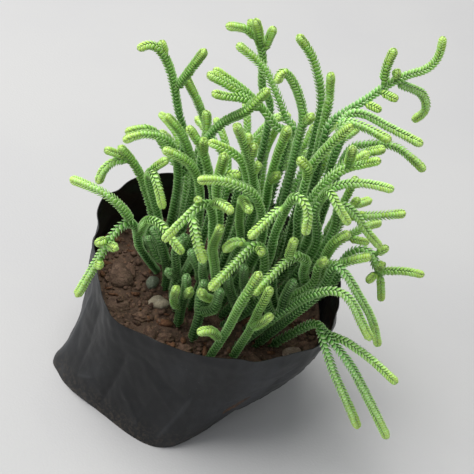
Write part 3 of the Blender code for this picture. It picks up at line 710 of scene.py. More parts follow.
@dataclass
class Layout:
    """Grows every shoot from its legs and spreads the stems apart, as the solids were."""

    form: BagForm
    width: float = 3.8 * MM
    held: float = 3 * width
    clearance: float = 0.7 * MM
    step: float = 2.5 * MM
    curve_points: int = 24
    rounds: int = 160
    rounds_per_search: int = 8
    search_reach: float = 2.5
    smoothing: int = 6
    lowest_level: float = 0.3
    shoots: list = field(default_factory=list)

    def corner_points(self, start: Any, legs: tuple) -> np.ndarray:
        """The points that a shoot passes through: its start and the end of each leg.

        Args:
            start: where it leaves the soil or its parent.
            legs: its legs.

        Returns:
            The points, one row each.
        """
        points = [np.array(start, float)]
        for heading, rise, run in legs:
            level = math.cos(math.radians(rise))
            way = np.array(
                [
                    level * math.cos(math.radians(heading)),
                    level * math.sin(math.radians(heading)),
                    math.sin(math.radians(rise)),
                ]
            )
            points.append(points[-1] + way * run * MM)
        return np.array(points)

    def smooth_curve(self, corners: np.ndarray) -> np.ndarray:
        """A smooth curve through the corners, as points about one step apart.

        Args:
            corners: the points to pass through.

        Returns:
            The curve's points, one row each.
        """
        ends = [2 * corners[0] - corners[1], *corners, 2 * corners[-1] - corners[-2]]
        share = np.linspace(0, 1, self.curve_points, endpoint=False)[:, None]
        dense = []
        for a, b, c, d in zip(ends, ends[1:], ends[2:], ends[3:]):
            bend = (2 * a - 5 * b + 4 * c - d) * share**2 + (3 * b - a - 3 * c + d) * share**3
            dense.append((2 * b + (c - a) * share + bend) / 2)
        points = np.vstack([*dense, corners[-1:]])
        along = lengths_along(points)
        count = max(3, int(round(along[-1] / self.step)) + 1)
        return at_lengths(points, np.linspace(0, along[-1], count))

    def grow(self, number: int, stem: Stem) -> list:
        """The shoots of a stem: the stem itself, then its side shoots.

        Args:
            number: the stem's number, from 0.
            stem: its root, legs and side shoots.

        Returns:
            The shoots, as yet unspread.
        """
        form = self.form
        x, y = (form.shift[axis] + stem.root[axis] * form.mouth for axis in (0, 1))
        corners = self.corner_points((x, y, form.soil_level), stem.legs)
        main = Shoot(number, self.smooth_curve(corners))
        shoots = [main]
        for side in stem.sides:
            join = int(round(side.at * (len(main.points) - 1)))
            corners = self.corner_points(main.points[join], side.legs)
            shoots.append(Shoot(number, self.smooth_curve(corners), main, join))
        return shoots

    @staticmethod
    def push_apart(points: np.ndarray, pairs: tuple, least: float, pushes: np.ndarray) -> None:
        """Adds to each point's push what takes the pairs that are too close the least apart.

        Args:
            points: every shoot's points, one row each.
            pairs: the numbers of the first and the second point of each pair.
            least: the least distance between the two.
            pushes: the push of each point, which this adds to.
        """
        first, second = pairs
        away = points[first] - points[second]
        gap = np.linalg.norm(away, axis=1)
        short = np.clip(least - gap, 0, None) / np.maximum(gap, TINY) / 2
        for axis in range(3):
            move = away[:, axis] * short
            pushes[:, axis] += np.bincount(first, move, len(points))
            pushes[:, axis] -= np.bincount(second, move, len(points))

    def push_off_bag(self, points: np.ndarray, least: float, pushes: np.ndarray) -> None:
        """Adds what keeps each point the least gap from the wall, on the side where it is.

        Args:
            points: every shoot's points, one row each.
            least: the least gap.
            pushes: the push of each point, which this adds to.
        """
        form = self.form
        offset = points[:, :2] - form.shift
        radius = np.maximum(np.linalg.norm(offset, axis=1), TINY)
        bearing = np.degrees(np.arctan2(offset[:, 1], offset[:, 0]))
        rim = form.rim(bearing)
        level = np.clip(points[:, 2] / rim, self.lowest_level, 1)
        wall = form.point(bearing, level)[:, :2] - form.shift
        beyond = radius - (np.linalg.norm(wall, axis=1) - form.wall / 2)
        above = np.clip(points[:, 2] - rim, 0, None)
        gap = np.hypot(beyond, above)
        short = np.clip(least - gap, 0, None) / np.maximum(gap, TINY)
        pushes[:, :2] += offset / radius[:, None] * (beyond * short)[:, None]
        pushes[:, 2] += above * short

    def push_off_stones(self, points: np.ndarray, pushes: np.ndarray) -> None:
        """Adds what keeps each point clear of the stones.

        Args:
            points: every shoot's points, one row each.
            pushes: the push of each point, which this adds to.
        """
        for stone in STONES:
            least = max(stone.size) / 2 * MM + self.width / 2 + self.clearance
            away = points - self.form.stone_middle(stone)
            gap = np.linalg.norm(away, axis=1)
            short = np.clip(least - gap, 0, None) / np.maximum(gap, TINY)
            pushes += away * short[:, None]

    def push_off_soil(self, points: np.ndarray, freedom: np.ndarray, pushes: np.ndarray) -> None:
        """Adds what keeps each point but a root above the soil, inside the bag's mouth.

        Args:
            points: every shoot's points, one row each.
            freedom: how freely each may move, 0 at a root and 1 a little way up.
            pushes: the push of each point, which this adds to.
        """
        form = self.form
        least = self.width / 2 + self.clearance
        inside = np.linalg.norm(points[:, :2] - form.shift, axis=1) < form.mouth
        low = form.soil_height(points[:, 0], points[:, 1]) + least - points[:, 2]
        pushes[:, 2] += np.where(inside & (freedom >= 1), np.clip(low, 0, None), 0)

    def smoothed(self, pushes: np.ndarray) -> np.ndarray:
        """A shoot's pushes, averaged along it so that it bends and doesn't kink.

        Args:
            pushes: the push of each of its points.

        Returns:
            The averaged pushes.
        """
        for _ in range(self.smoothing):
            padded = np.vstack([pushes[:1], pushes, pushes[-1:]])
            pushes = (padded[:-2] + 2 * padded[1:-1] + padded[2:]) / 4
        return pushes

    def spread(self) -> None:
        """Bends the shoots just enough to keep every stem clear of the others and of the bag."""
        shoots = self.shoots
        owner = np.concatenate([np.full(len(shoot.points), shoot.stem) for shoot in shoots])
        starts = np.cumsum([0] + [len(shoot.points) for shoot in shoots])
        freedom = np.concatenate([shoot.freedom for shoot in shoots])
        least = self.width + self.clearance
        reach = self.width / 2 + self.clearance
        for turn in range(self.rounds):
            points = np.vstack([shoot.points for shoot in shoots])
            if turn % self.rounds_per_search == 0:
                gap = np.linalg.norm(points[:, None] - points[None], axis=2)
                near = gap < self.search_reach * least
                pairs = np.nonzero(near & (owner[:, None] < owner[None]))
            pushes = np.zeros_like(points)
            self.push_apart(points, pairs, least, pushes)
            self.push_off_bag(points, reach, pushes)
            self.push_off_stones(points, pushes)
            self.push_off_soil(points, freedom, pushes)
            for shoot, start, end in zip(shoots, starts, starts[1:]):
                shoot.move(self.smoothed(pushes[start:end]))

    def all_shoots(self) -> list:
        """Every shoot of the plant, spread apart.

        Returns:
            The shoots, stem by stem.
        """
        for number, stem in enumerate(STEMS):
            self.shoots += self.grow(number, stem)
        self.spread()
        return self.shoots


# --- Shader tools -----------------------------------------------------------------------------


class Wire:
    """A socket that carries a value; arithmetic on it adds Math nodes."""

    def __init__(self, tree: Any, socket: Any) -> None:
        """Wraps an output socket of a node tree."""
        self.tree = tree
        self.socket = socket

    def math(self, operation: str, *others: Any, clamp: bool = False) -> "Wire":
        """A Math node.

        Args:
            operation: the Math node's operation.
            others: the other terms, Wires or numbers; None marks this wire's place if not first.
            clamp: whether the result is held between 0 and 1.

        Returns:
            The Math node's output.
        """
        node = self.tree.nodes.new("ShaderNodeMath")
        node.operation = operation
        node.use_clamp = clamp
        terms = list(others)
        if None in terms:
            terms[terms.index(None)] = self
        else:
            terms.insert(0, self)
        for slot, term in zip(node.inputs, terms):
            if isinstance(term, Wire):
                self.tree.links.new(term.socket, slot)
            else:
                slot.default_value = float(term)
        return Wire(self.tree, node.outputs[0])

    def __add__(self, other: Any) -> "Wire":
        """Sum."""
        return self.math("ADD", other)

    def __radd__(self, other: Any) -> "Wire":
        """Sum with this wire second."""
        return self.math("ADD", other)

    def __sub__(self, other: Any) -> "Wire":
        """Difference."""
        return self.math("SUBTRACT", other)

    def __rsub__(self, other: Any) -> "Wire":
        """Difference with this wire second."""
        return self.math("SUBTRACT", other, None)

    def __mul__(self, other: Any) -> "Wire":
        """Product."""
        return self.math("MULTIPLY", other)

    def __rmul__(self, other: Any) -> "Wire":
        """Product with this wire second."""
        return self.math("MULTIPLY", other)

    def clamped(self) -> "Wire":
        """The value held between 0 and 1."""
        return self.math("ADD", 0.0, clamp=True)

    def step(self, low: float, high: float) -> "Wire":
        """0 below low, 1 above high, and smooth between them; falls where low is over high.

        Args:
            low: where it is 0.
            high: where it is 1.

        Returns:
            The Map Range node's output.
        """
        node = self.tree.nodes.new("ShaderNodeMapRange")
        node.interpolation_type = "SMOOTHSTEP"
        node.inputs["From Min"].default_value = low
        node.inputs["From Max"].default_value = high
        self.tree.links.new(self.socket, node.inputs["Value"])
        return Wire(self.tree, node.outputs["Result"])


Colour = tuple[float, float, float]


class Recipe:
    """A material being put together around its Principled shader."""

    def __init__(self, name: str) -> None:
        """Starts a material.

        Args:
            name: the material's name.
        """
        self.material = bpy.data.materials.new(name)
        self.material.use_nodes = True
        self.tree = self.material.node_tree
        self.shader = self.tree.nodes["Principled BSDF"]

    def node(self, kind: str, settings: dict | None = None, inputs: dict | None = None) -> Any:
        """Adds a node.

        Args:
            kind: the node's type.
            settings: the node's own settings, set first.
            inputs: values or Wires by socket name or number.

        Returns:
            The node.
        """
        node = self.tree.nodes.new(kind)
        for key, value in (settings or {}).items():
            setattr(node, key, value)
        for key, value in (inputs or {}).items():
            if isinstance(value, Wire):
                self.tree.links.new(value.socket, node.inputs[key])
            else:
                node.inputs[key].default_value = value
        return node

    def wire(self, node: Any, output: Any = 0) -> Wire:
        """A node's output as a Wire."""
        return Wire(self.tree, node.outputs[output])

    def place(self, upright: float = 1.0) -> Wire:
        """Object coordinates, with the height scaled.

        Args:
            upright: the scale of the height alone.

        Returns:
            The Mapping node's output.
        """
        where = self.wire(self.node("ShaderNodeTexCoord"), "Object")
        inputs = {"Vector": where, "Scale": (1, 1, upright)}
        return self.wire(self.node("ShaderNodeMapping", inputs=inputs))

    def attribute(self, name: str) -> Wire:
        """A number that the mesh carries at each of its points."""
        return self.wire(self.node("ShaderNodeAttribute", {"attribute_name": name}), "Fac")

    def noise(self, where: Wire, scale: float, detail: float = 3, rough: float = 0.5) -> Wire:
        """Soft noise, about 0 to 1."""
        inputs = {"Vector": where, "Scale": scale, "Detail": detail, "Roughness": rough}
        return self.wire(self.node("ShaderNodeTexNoise", inputs=inputs), "Fac")

    def cells(self, where: Wire, scale: float, output: str = "Distance") -> Wire:
        """A Voronoi texture's output."""
        inputs = {"Vector": where, "Scale": scale}
        return self.wire(self.node("ShaderNodeTexVoronoi", inputs=inputs), output)

    def grey(self, value: Wire) -> Wire:
        """A value as a grey colour."""
        return self.wire(self.node("ShaderNodeCombineColor", inputs={0: value, 1: value, 2: value}))

    def mix(self, factor: Any, first: Any, second: Any, blend: str = "MIX") -> Wire:
        """Two colours mixed by a factor.

        Args:
            factor: how much of the second, a number or a Wire.
            first: a colour or a Wire.
            second: a colour or a Wire.
            blend: the way of mixing.

        Returns:
            The mixed colour.
        """
        settings = {"data_type": "RGBA", "blend_type": blend}
        inputs = {0: factor, 6: self.rgba(first), 7: self.rgba(second)}
        return self.wire(self.node("ShaderNodeMix", settings, inputs), 2)

    @staticmethod
    def rgba(colour: Any) -> Any:
        """A colour with its alpha; a Wire stays as it is."""
        return colour if isinstance(colour, Wire) else (*colour, 1.0)

    def ramp(self, factor: Wire, stops: list[tuple[float, Colour]]) -> Wire:
        """A colour ramp over the factor.

        Args:
            factor: what picks the colour.
            stops: each stop's place and colour.

        Returns:
            The picked colour.
        """
        node = self.node("ShaderNodeValToRGB", inputs={"Fac": factor})
        elements = node.color_ramp.elements
        while len(elements) < len(stops):
            elements.new(0.5)
        for element, (place, colour) in zip(elements, stops):
            element.position = place
            element.color = (*colour, 1.0)
        return self.wire(node, "Color")

    def bump(self, height: Wire, distance: float, strength: float = 1.0) -> Wire:
        """A bumped normal from a height between 0 and 1."""
        inputs = {"Height": height, "Distance": distance, "Strength": strength}
        return self.wire(self.node("ShaderNodeBump", inputs=inputs))

    def finish(self, **sockets: Any) -> Any:
        """Sets the shader's sockets by name, with _ for each space, and returns the material.

        Args:
            sockets: a Wire, number or colour for each socket.

        Returns:
            The material.
        """
        for key, value in sockets.items():
            socket = self.shader.inputs[key.replace("_", " ").title().replace("Ior", "IOR")]
            if isinstance(value, Wire):
                self.tree.links.new(value.socket, socket)
            elif isinstance(value, tuple):
                socket.default_value = value if len(socket.default_value) == 3 else (*value, 1.0)
            else:
                socket.default_value = value
        return self.material


# --- Finishes ---------------------------------------------------------------------------------


@dataclass(frozen=True)
class LeafFinish:
    """Fleshy scale leaves: yellow-green at the growing tips, dark and bluish low down, partly from
    being older and partly as painted shade in the thicket.
    """

    bud: Colour = (0.54, 0.84, 0.105)
    fresh: Colour = (0.37, 0.70, 0.135)
    grown: Colour = (0.198, 0.51, 0.105)
    old: Colour = (0.060, 0.19, 0.040)
    margin: Colour = (0.76, 0.94, 0.56)
    recess_shade: float = 0.52

    def material(self) -> Any:
        """The leaves' material, which reads from the mesh how old each leaf looks with painted shade
        added, and along, edge and tint.

        Returns:
            The material.
        """
        made = Recipe("scale_leaves_finish")
        age, along = made.attribute("age"), made.attribute("along")
        edge, tint = made.attribute("edge"), made.attribute("tint")
        where = made.place()
        blotch = made.noise(where, 240, 3)
        shifted = age + (blotch - 0.5) * 0.10 + (tint - 0.5) * 0.12
        stops = [(0.0, self.bud), (0.13, self.fresh), (0.45, self.grown), (0.95, self.old)]
        flesh = made.ramp(shifted.clamped(), stops)
        vigour = (0.35 + 0.65 * age.step(0.95, 0.35)) * (0.72 + 0.28 * age.step(0.02, 0.22))
        pale = edge.step(0.35, 1.0) * vigour * 0.9 * along.step(0.15, 0.55)
        rim = along.step(0.55, 0.95) * 0.7 * vigour
        flesh = made.mix(pale.math("MAXIMUM", rim), flesh, self.margin)
        # Painted shade: each leaf darkens towards its foot, where the leaves overlap; the tint then
        # adds a random tone to each leaf.
        shade = self.recess_shade + (1 - self.recess_shade) * along.step(0.02, 0.5)
        shade = shade * (0.86 + 0.28 * tint)
        colour = made.mix(1.0, flesh, made.grey(shade), "MULTIPLY")
        speck = made.cells(where, 2600)
        normal = made.bump(speck * 0.6 + blotch, 0.00006)
        rough = 0.42 + 0.18 * blotch
        return made.finish(
            base_color=colour,
            roughness=rough,
            normal=normal,
            subsurface_weight=0.12,
            subsurface_scale=0.0012,
            subsurface_radius=(0.6, 1.0, 0.25),
            specular_ior_level=0.45,
        )


@dataclass(frozen=True)
class FilmFinish:
    """Black polythene film: satin, with a dusting in patches, painted sheen on two sides and painted
    highlights along the fold ridges.
    """

    film: Colour = (0.0085, 0.0088, 0.0095)
    # Grey of the dusting, also painted on as sheen and highlights.
    dust_and_sheen_grey: Colour = (0.062, 0.065, 0.070)
    soil_mark: Colour = (0.060, 0.048, 0.036)
    splash_height: float = 12 * MM
    gloss: float = 0.34

    def material(self) -> Any:
        """The film's material, which reads ridge and the side patches of painted light from the mesh.

        Returns:
            The material.
        """
        made = Recipe("polythene_film_finish")
        where = made.place()
        cloud = made.noise(where, 22, 5, 0.6)
        streak = made.noise(made.place(0.22), 95, 4, 0.6)
        fine = made.noise(where, 700, 4, 0.65)
        ridge = made.attribute("ridge")
        # A dusting in random patches, then painted side light with some dusting on two sides, then
        # painted highlights along the crease ridges.
        dust_and_sheen = cloud.step(0.42, 0.68) * (0.35 + 0.65 * streak.step(0.35, 0.7))
        dust_and_sheen = dust_and_sheen * 0.42 + made.attribute("side_light_and_dust") * (0.15 + 0.75 * streak.step(0.3, 0.65))
        dust_and_sheen = (dust_and_sheen + ridge.step(0.45, 1.0) * 0.35).clamped()
        base = made.mix(dust_and_sheen * 0.8, self.film, self.dust_and_sheen_grey)
        height = made.wire(made.node("ShaderNodeSeparateXYZ", inputs={0: where}), 2)
        splash = height.step(self.splash_height, 0.0) * fine.step(0.45, 0.62) * 0.7
        base = made.mix(splash, base, self.soil_mark)
        speck = made.cells(where, 420).step(0.16, 0.05) * cloud.step(0.45, 0.6)
        base = made.mix(speck * 0.5, base, self.dust_and_sheen_grey)
        rough = 0.34 + 0.30 * dust_and_sheen + 0.10 * fine
        wrinkle = made.noise(made.place(0.45), 160, 5, 0.55)
        normal = made.bump(wrinkle * 0.8 + fine * 0.2, 0.0007, 0.55)
        return made.finish(
            base_color=base, roughness=rough, normal=normal, specular_ior_level=self.gloss
        )


@dataclass(frozen=True)
class EarthFinish:
    """Earthy stuff: two browns in patches, with flecks, painted shade in the hollows and painted light
    on the crests.
    """

    name: str
    dark: Colour
    light: Colour
    fleck: Colour
    scale: float = 400.0
    flecks: float = 0.4
    relief: float = 0.5 * MM
    hollow_shade: float = 0.45
    crest_light: float = 1.1

    def material(self) -> Any:
        """The earthy material, which reads tint from the mesh.

        Returns:
            The material.
        """
        made = Recipe(self.name + "_finish")
        where = made.place()
        patch = made.noise(where, self.scale, 5, 0.62)
        grain = made.noise(where, self.scale * 5, 4, 0.7)
        tint = made.attribute("tint")
        lightness = (patch.step(0.32, 0.68) * 0.6 + tint * 0.5).clamped()
        base = made.mix(lightness, self.dark, self.light)
        flecks = made.cells(where, self.scale * 3.2, "Color")
        lucky = made.wire(made.node("ShaderNodeSeparateColor", inputs={0: flecks}))
        base = made.mix(lucky.step(0.86, 0.93) * self.flecks, base, self.fleck)
        # Painted shade in the hollows of the grain and painted light on its crests.
        depth = made.ramp(grain, [(0.25, (self.hollow_shade,) * 3), (0.6, (self.crest_light,) * 3)])
        base = made.mix(1.0, base, depth, "MULTIPLY")
        normal = made.bump(patch * 0.6 + grain * 0.4, self.relief)
        rough = 0.82 + 0.15 * grain
        return made.finish(base_color=base, roughness=rough, normal=normal, specular_ior_level=0.25)


POTTING_MIX = EarthFinish(
    "potting_mix", (0.042, 0.026, 0.018), (0.130, 0.081, 0.055), (0.26, 0.14, 0.08)
)
CRUMB = EarthFinish("crumb", (0.050, 0.030, 0.020), (0.185, 0.112, 0.078), (0.30, 0.17, 0.10), 600)
BARK = EarthFinish("bark_bit", (0.060, 0.025, 0.013), (0.22, 0.105, 0.055), (0.35, 0.2, 0.1), 900)


class StoneLook(Enum):
    """What each kind of stone or clod is made of."""

    PALE = EarthFinish(
        "pale_stone", (0.24, 0.20, 0.145), (0.42, 0.36, 0.26), (0.5, 0.46, 0.38), 300, 0.5, 0.3 * MM
    )
    GREEN = EarthFinish(
        "greenish_stone", (0.13, 0.155, 0.11), (0.27, 0.30, 0.22), (0.38, 0.4, 0.33), 300, 0.4, 0.3 * MM
    )
    PINK = EarthFinish(
        "pinkish_stone", (0.20, 0.14, 0.10), (0.38, 0.29, 0.23), (0.5, 0.42, 0.35), 300, 0.4, 0.3 * MM
    )
    EARTH = EarthFinish(
        "earth_clod", (0.060, 0.038, 0.026), (0.16, 0.10, 0.07), (0.26, 0.17, 0.12), 320, 0.5, 0.8 * MM
    )


STONE_LOOKS = {
    "pebble_pale": StoneLook.PALE,
    "pebble_greenish": StoneLook.GREEN,
    "clod_large": StoneLook.EARTH,
    "clod_left": StoneLook.EARTH,
    "pebble_right": StoneLook.PINK,
}


# --- Mesh tools -------------------------------------------------------------------------------


def nothing_selected() -> None:
    """Leaves no object selected, in Object Mode."""
    if bpy.context.object and bpy.context.object.mode != "OBJECT":
        bpy.ops.object.mode_set(mode="OBJECT")
    bpy.ops.object.select_all(action="DESELECT")


def places_of(item: Any) -> np.ndarray:
    """The places of an object's vertices, one row each.

    Args:
        item: the object.

    Returns:
        The places, in metres.
    """
    places = np.empty(len(item.data.vertices) * 3, np.float32)
    item.data.vertices.foreach_get("co", places)
    return places.reshape(-1, 3).astype(float)


def put_places(item: Any, places: np.ndarray) -> None:
    """Moves an object's vertices to these places."""
    item.data.vertices.foreach_set("co", np.asarray(places, np.float32).ravel())
    item.data.update()


def add_numbers(mesh: Any, name: str, values: np.ndarray) -> None:
    """Stores one number for each vertex under a name that a material can read."""
    layer = mesh.attributes.new(name, "FLOAT", "POINT")
    layer.data.foreach_set("value", np.asarray(values, np.float32).ravel())


def mesh_of(name: str, points: np.ndarray, faces: list, numbers: dict | None = None) -> Any:
    """An object from points and faces.

    Args:
        name: the object's name.
        points: one row for each vertex.
        faces: arrays of corner numbers, all faces of one array with as many corners.
        numbers: arrays of a number for each vertex, by name.

    Returns:
        The new object, shaded smooth.
    """
    mesh = bpy.data.meshes.new(name)
    corners = np.concatenate([np.asarray(group).ravel() for group in faces]).astype(np.int32)
    sizes = np.concatenate([np.full(len(group), len(group[0])) for group in faces])
    starts = np.concatenate([[0], np.cumsum(sizes)[:-1]]).astype(np.int32)
    mesh.vertices.add(len(points))
    mesh.vertices.foreach_set("co", np.asarray(points, np.float32).ravel())
    mesh.loops.add(len(corners))
    mesh.loops.foreach_set("vertex_index", corners)
    mesh.polygons.add(len(starts))
    mesh.polygons.foreach_set("loop_start", starts)
    mesh.update(calc_edges=True)
    mesh.validate()
    for key, values in (numbers or {}).items():
        add_numbers(mesh, key, values)
    mesh.shade_smooth()
    item = bpy.data.objects.new(name, mesh)
    bpy.context.scene.collection.objects.link(item)
    return item


def wavy(points: np.ndarray, seed: int, size: float, octaves: int = 3) -> np.ndarray:
    """Smooth pseudo-random waves over space, about -1 to 1.

    Args:
        points: where to read them, one row each, in metres.
        seed: picks the waves.
        size: the longest waves' length in metres.
        octaves: how many times the waves are halved and added again.

    Returns:
        One number for each point.
    """
    waves, usual_crest = 5, 2.2
    draw = np.random.default_rng(seed)
    total, weight = np.zeros(len(points)), 0.0
    for octave in range(octaves):
        share = 0.5**octave
        for _ in range(waves):
            way = draw.normal(size=3)
            way *= 2 * math.pi / (size * share * draw.uniform(0.7, 1.4)) / np.linalg.norm(way)
            total += share * np.sin(points @ way + draw.uniform(0, 2 * math.pi))
        weight += share
    return total / weight / usual_crest


def keep(item: Any, material: Any, slot: str, *nodes: str) -> Any:
    """Dresses a finished piece and sets it on the body.

    Args:
        item: the finished object.
        material: its material.
        slot: the name of the record's material slot that goes with it; not used.
        nodes: the solids that it stands for.

    Returns:
        The same object.
    """
    item.data.materials.clear()
    item.data.materials.append(material)
    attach(item, BODY)
    if nodes:
        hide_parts(*nodes)
    LOG.info("%s: %d faces", item.name, len(item.data.polygons))
    return item


# --- Leafy stems ------------------------------------------------------------------------------

# Shoots low in the thicket, given a dark old-leaf colour all along as painted shade: the stem's number
# and the shoot's order on it
PAINTED_SHADE_SHOOTS = {(20, 1), (20, 2), (24, 4), (26, 1), (28, 3), (28, 4), (29, 2), (42, 0), (42, 1)}
PAINTED_SHADE_SHOOTS |= {(43, 0), (43, 1), (43, 2), (44, 0), (44, 1), (44, 2), (45, 0)}


@dataclass
class LeafPattern:
    """One scale leaf, shaped once: z runs from its foot to its tip, x across and y outwards."""

    segments: int = 8
    rings: int = 5
    widest: float = 0.30
    foot_length: float = 0.25
    points: Any = None
    faces: list = field(default_factory=list)
    along: Any = None
    edge: Any = None

    def shape(self) -> None:
        """Models the leaf from a small sphere, ring by ring, and reads its mesh."""
        nothing_selected()
        bpy.ops.mesh.primitive_uv_sphere_add(
            segments=self.segments, ring_count=self.rings, radius=1.0, rotation=(0, 0, 0)
        )
        item = bpy.context.object
        places = places_of(item)
        height = (places[:, 2] + 1) / 2
        spine = np.hypot(places[:, 0], places[:, 1])
        pole = spine < 1e-5
        around = np.where(pole, 1.0, spine)
        x, y = places[:, 0] / around, places[:, 1] / around
        x[pole] = y[pole] = 0
        self.along = height**0.9
        reach = self.along - self.widest
        span = np.where(reach > 0, 1 - self.widest, self.widest + self.foot_length)
        width = np.clip(1 - (np.abs(reach) / span) ** 1.7, 0, None) ** 0.85
        thick = np.clip(np.sin(np.pi * np.clip(self.along * 0.86 + 0.12, 0, 1)), 0.05, 1)
        outward = y * thick * np.minimum(spine * 1.6, 1)
        self.points = np.stack([x * width, outward, self.along], axis=1)
        self.edge = np.abs(x) ** 1.5
        self.edge[pole] = 1.0
        outlines = [list(face.vertices) for face in item.data.polygons]
        for count in (3, 4):
            self.faces.append(np.array([line for line in outlines if len(line) == count]))
        bpy.data.objects.remove(item, do_unlink=True)


class Rail(NamedTuple):
    """A shoot's fine path: its lengths, places and ways along, outwards and across, row by row."""

    lengths: np.ndarray
    path: np.ndarray
    ways: np.ndarray
    outs: np.ndarray
    sides: np.ndarray

    def follow(self, along: np.ndarray, turn: np.ndarray, reach: np.ndarray) -> np.ndarray:
        """Places round the path.

        Args:
            along: how far along the path they are; past its end it goes on straight.
            turn: how far they are turned round it, in radians.
            reach: how far out from it they are.

        Returns:
            The places, in an array shaped like along, with one more axis.
        """
        last = len(self.lengths) - 1
        share = np.clip(along / self.lengths[-1] * last, 0, last - TINY)
        low = share.astype(int)
        part = (share - low)[..., None]
        beyond = np.clip(along - self.lengths[-1], 0, None)[..., None]

        def read(rows: np.ndarray) -> np.ndarray:
            """The rows at these places along the path."""
            return rows[low] * (1 - part) + rows[low + 1] * part

        out = read(self.outs) * np.cos(turn)[..., None] + read(self.sides) * np.sin(turn)[..., None]
        return read(self.path) + out * reach[..., None] + self.ways[-1] * beyond


class Growth(NamedTuple):
    """Some of a stem's mesh: its points, its faces with three and four corners, its numbers."""

    points: np.ndarray
    tris: np.ndarray
    quads: np.ndarray
    numbers: dict


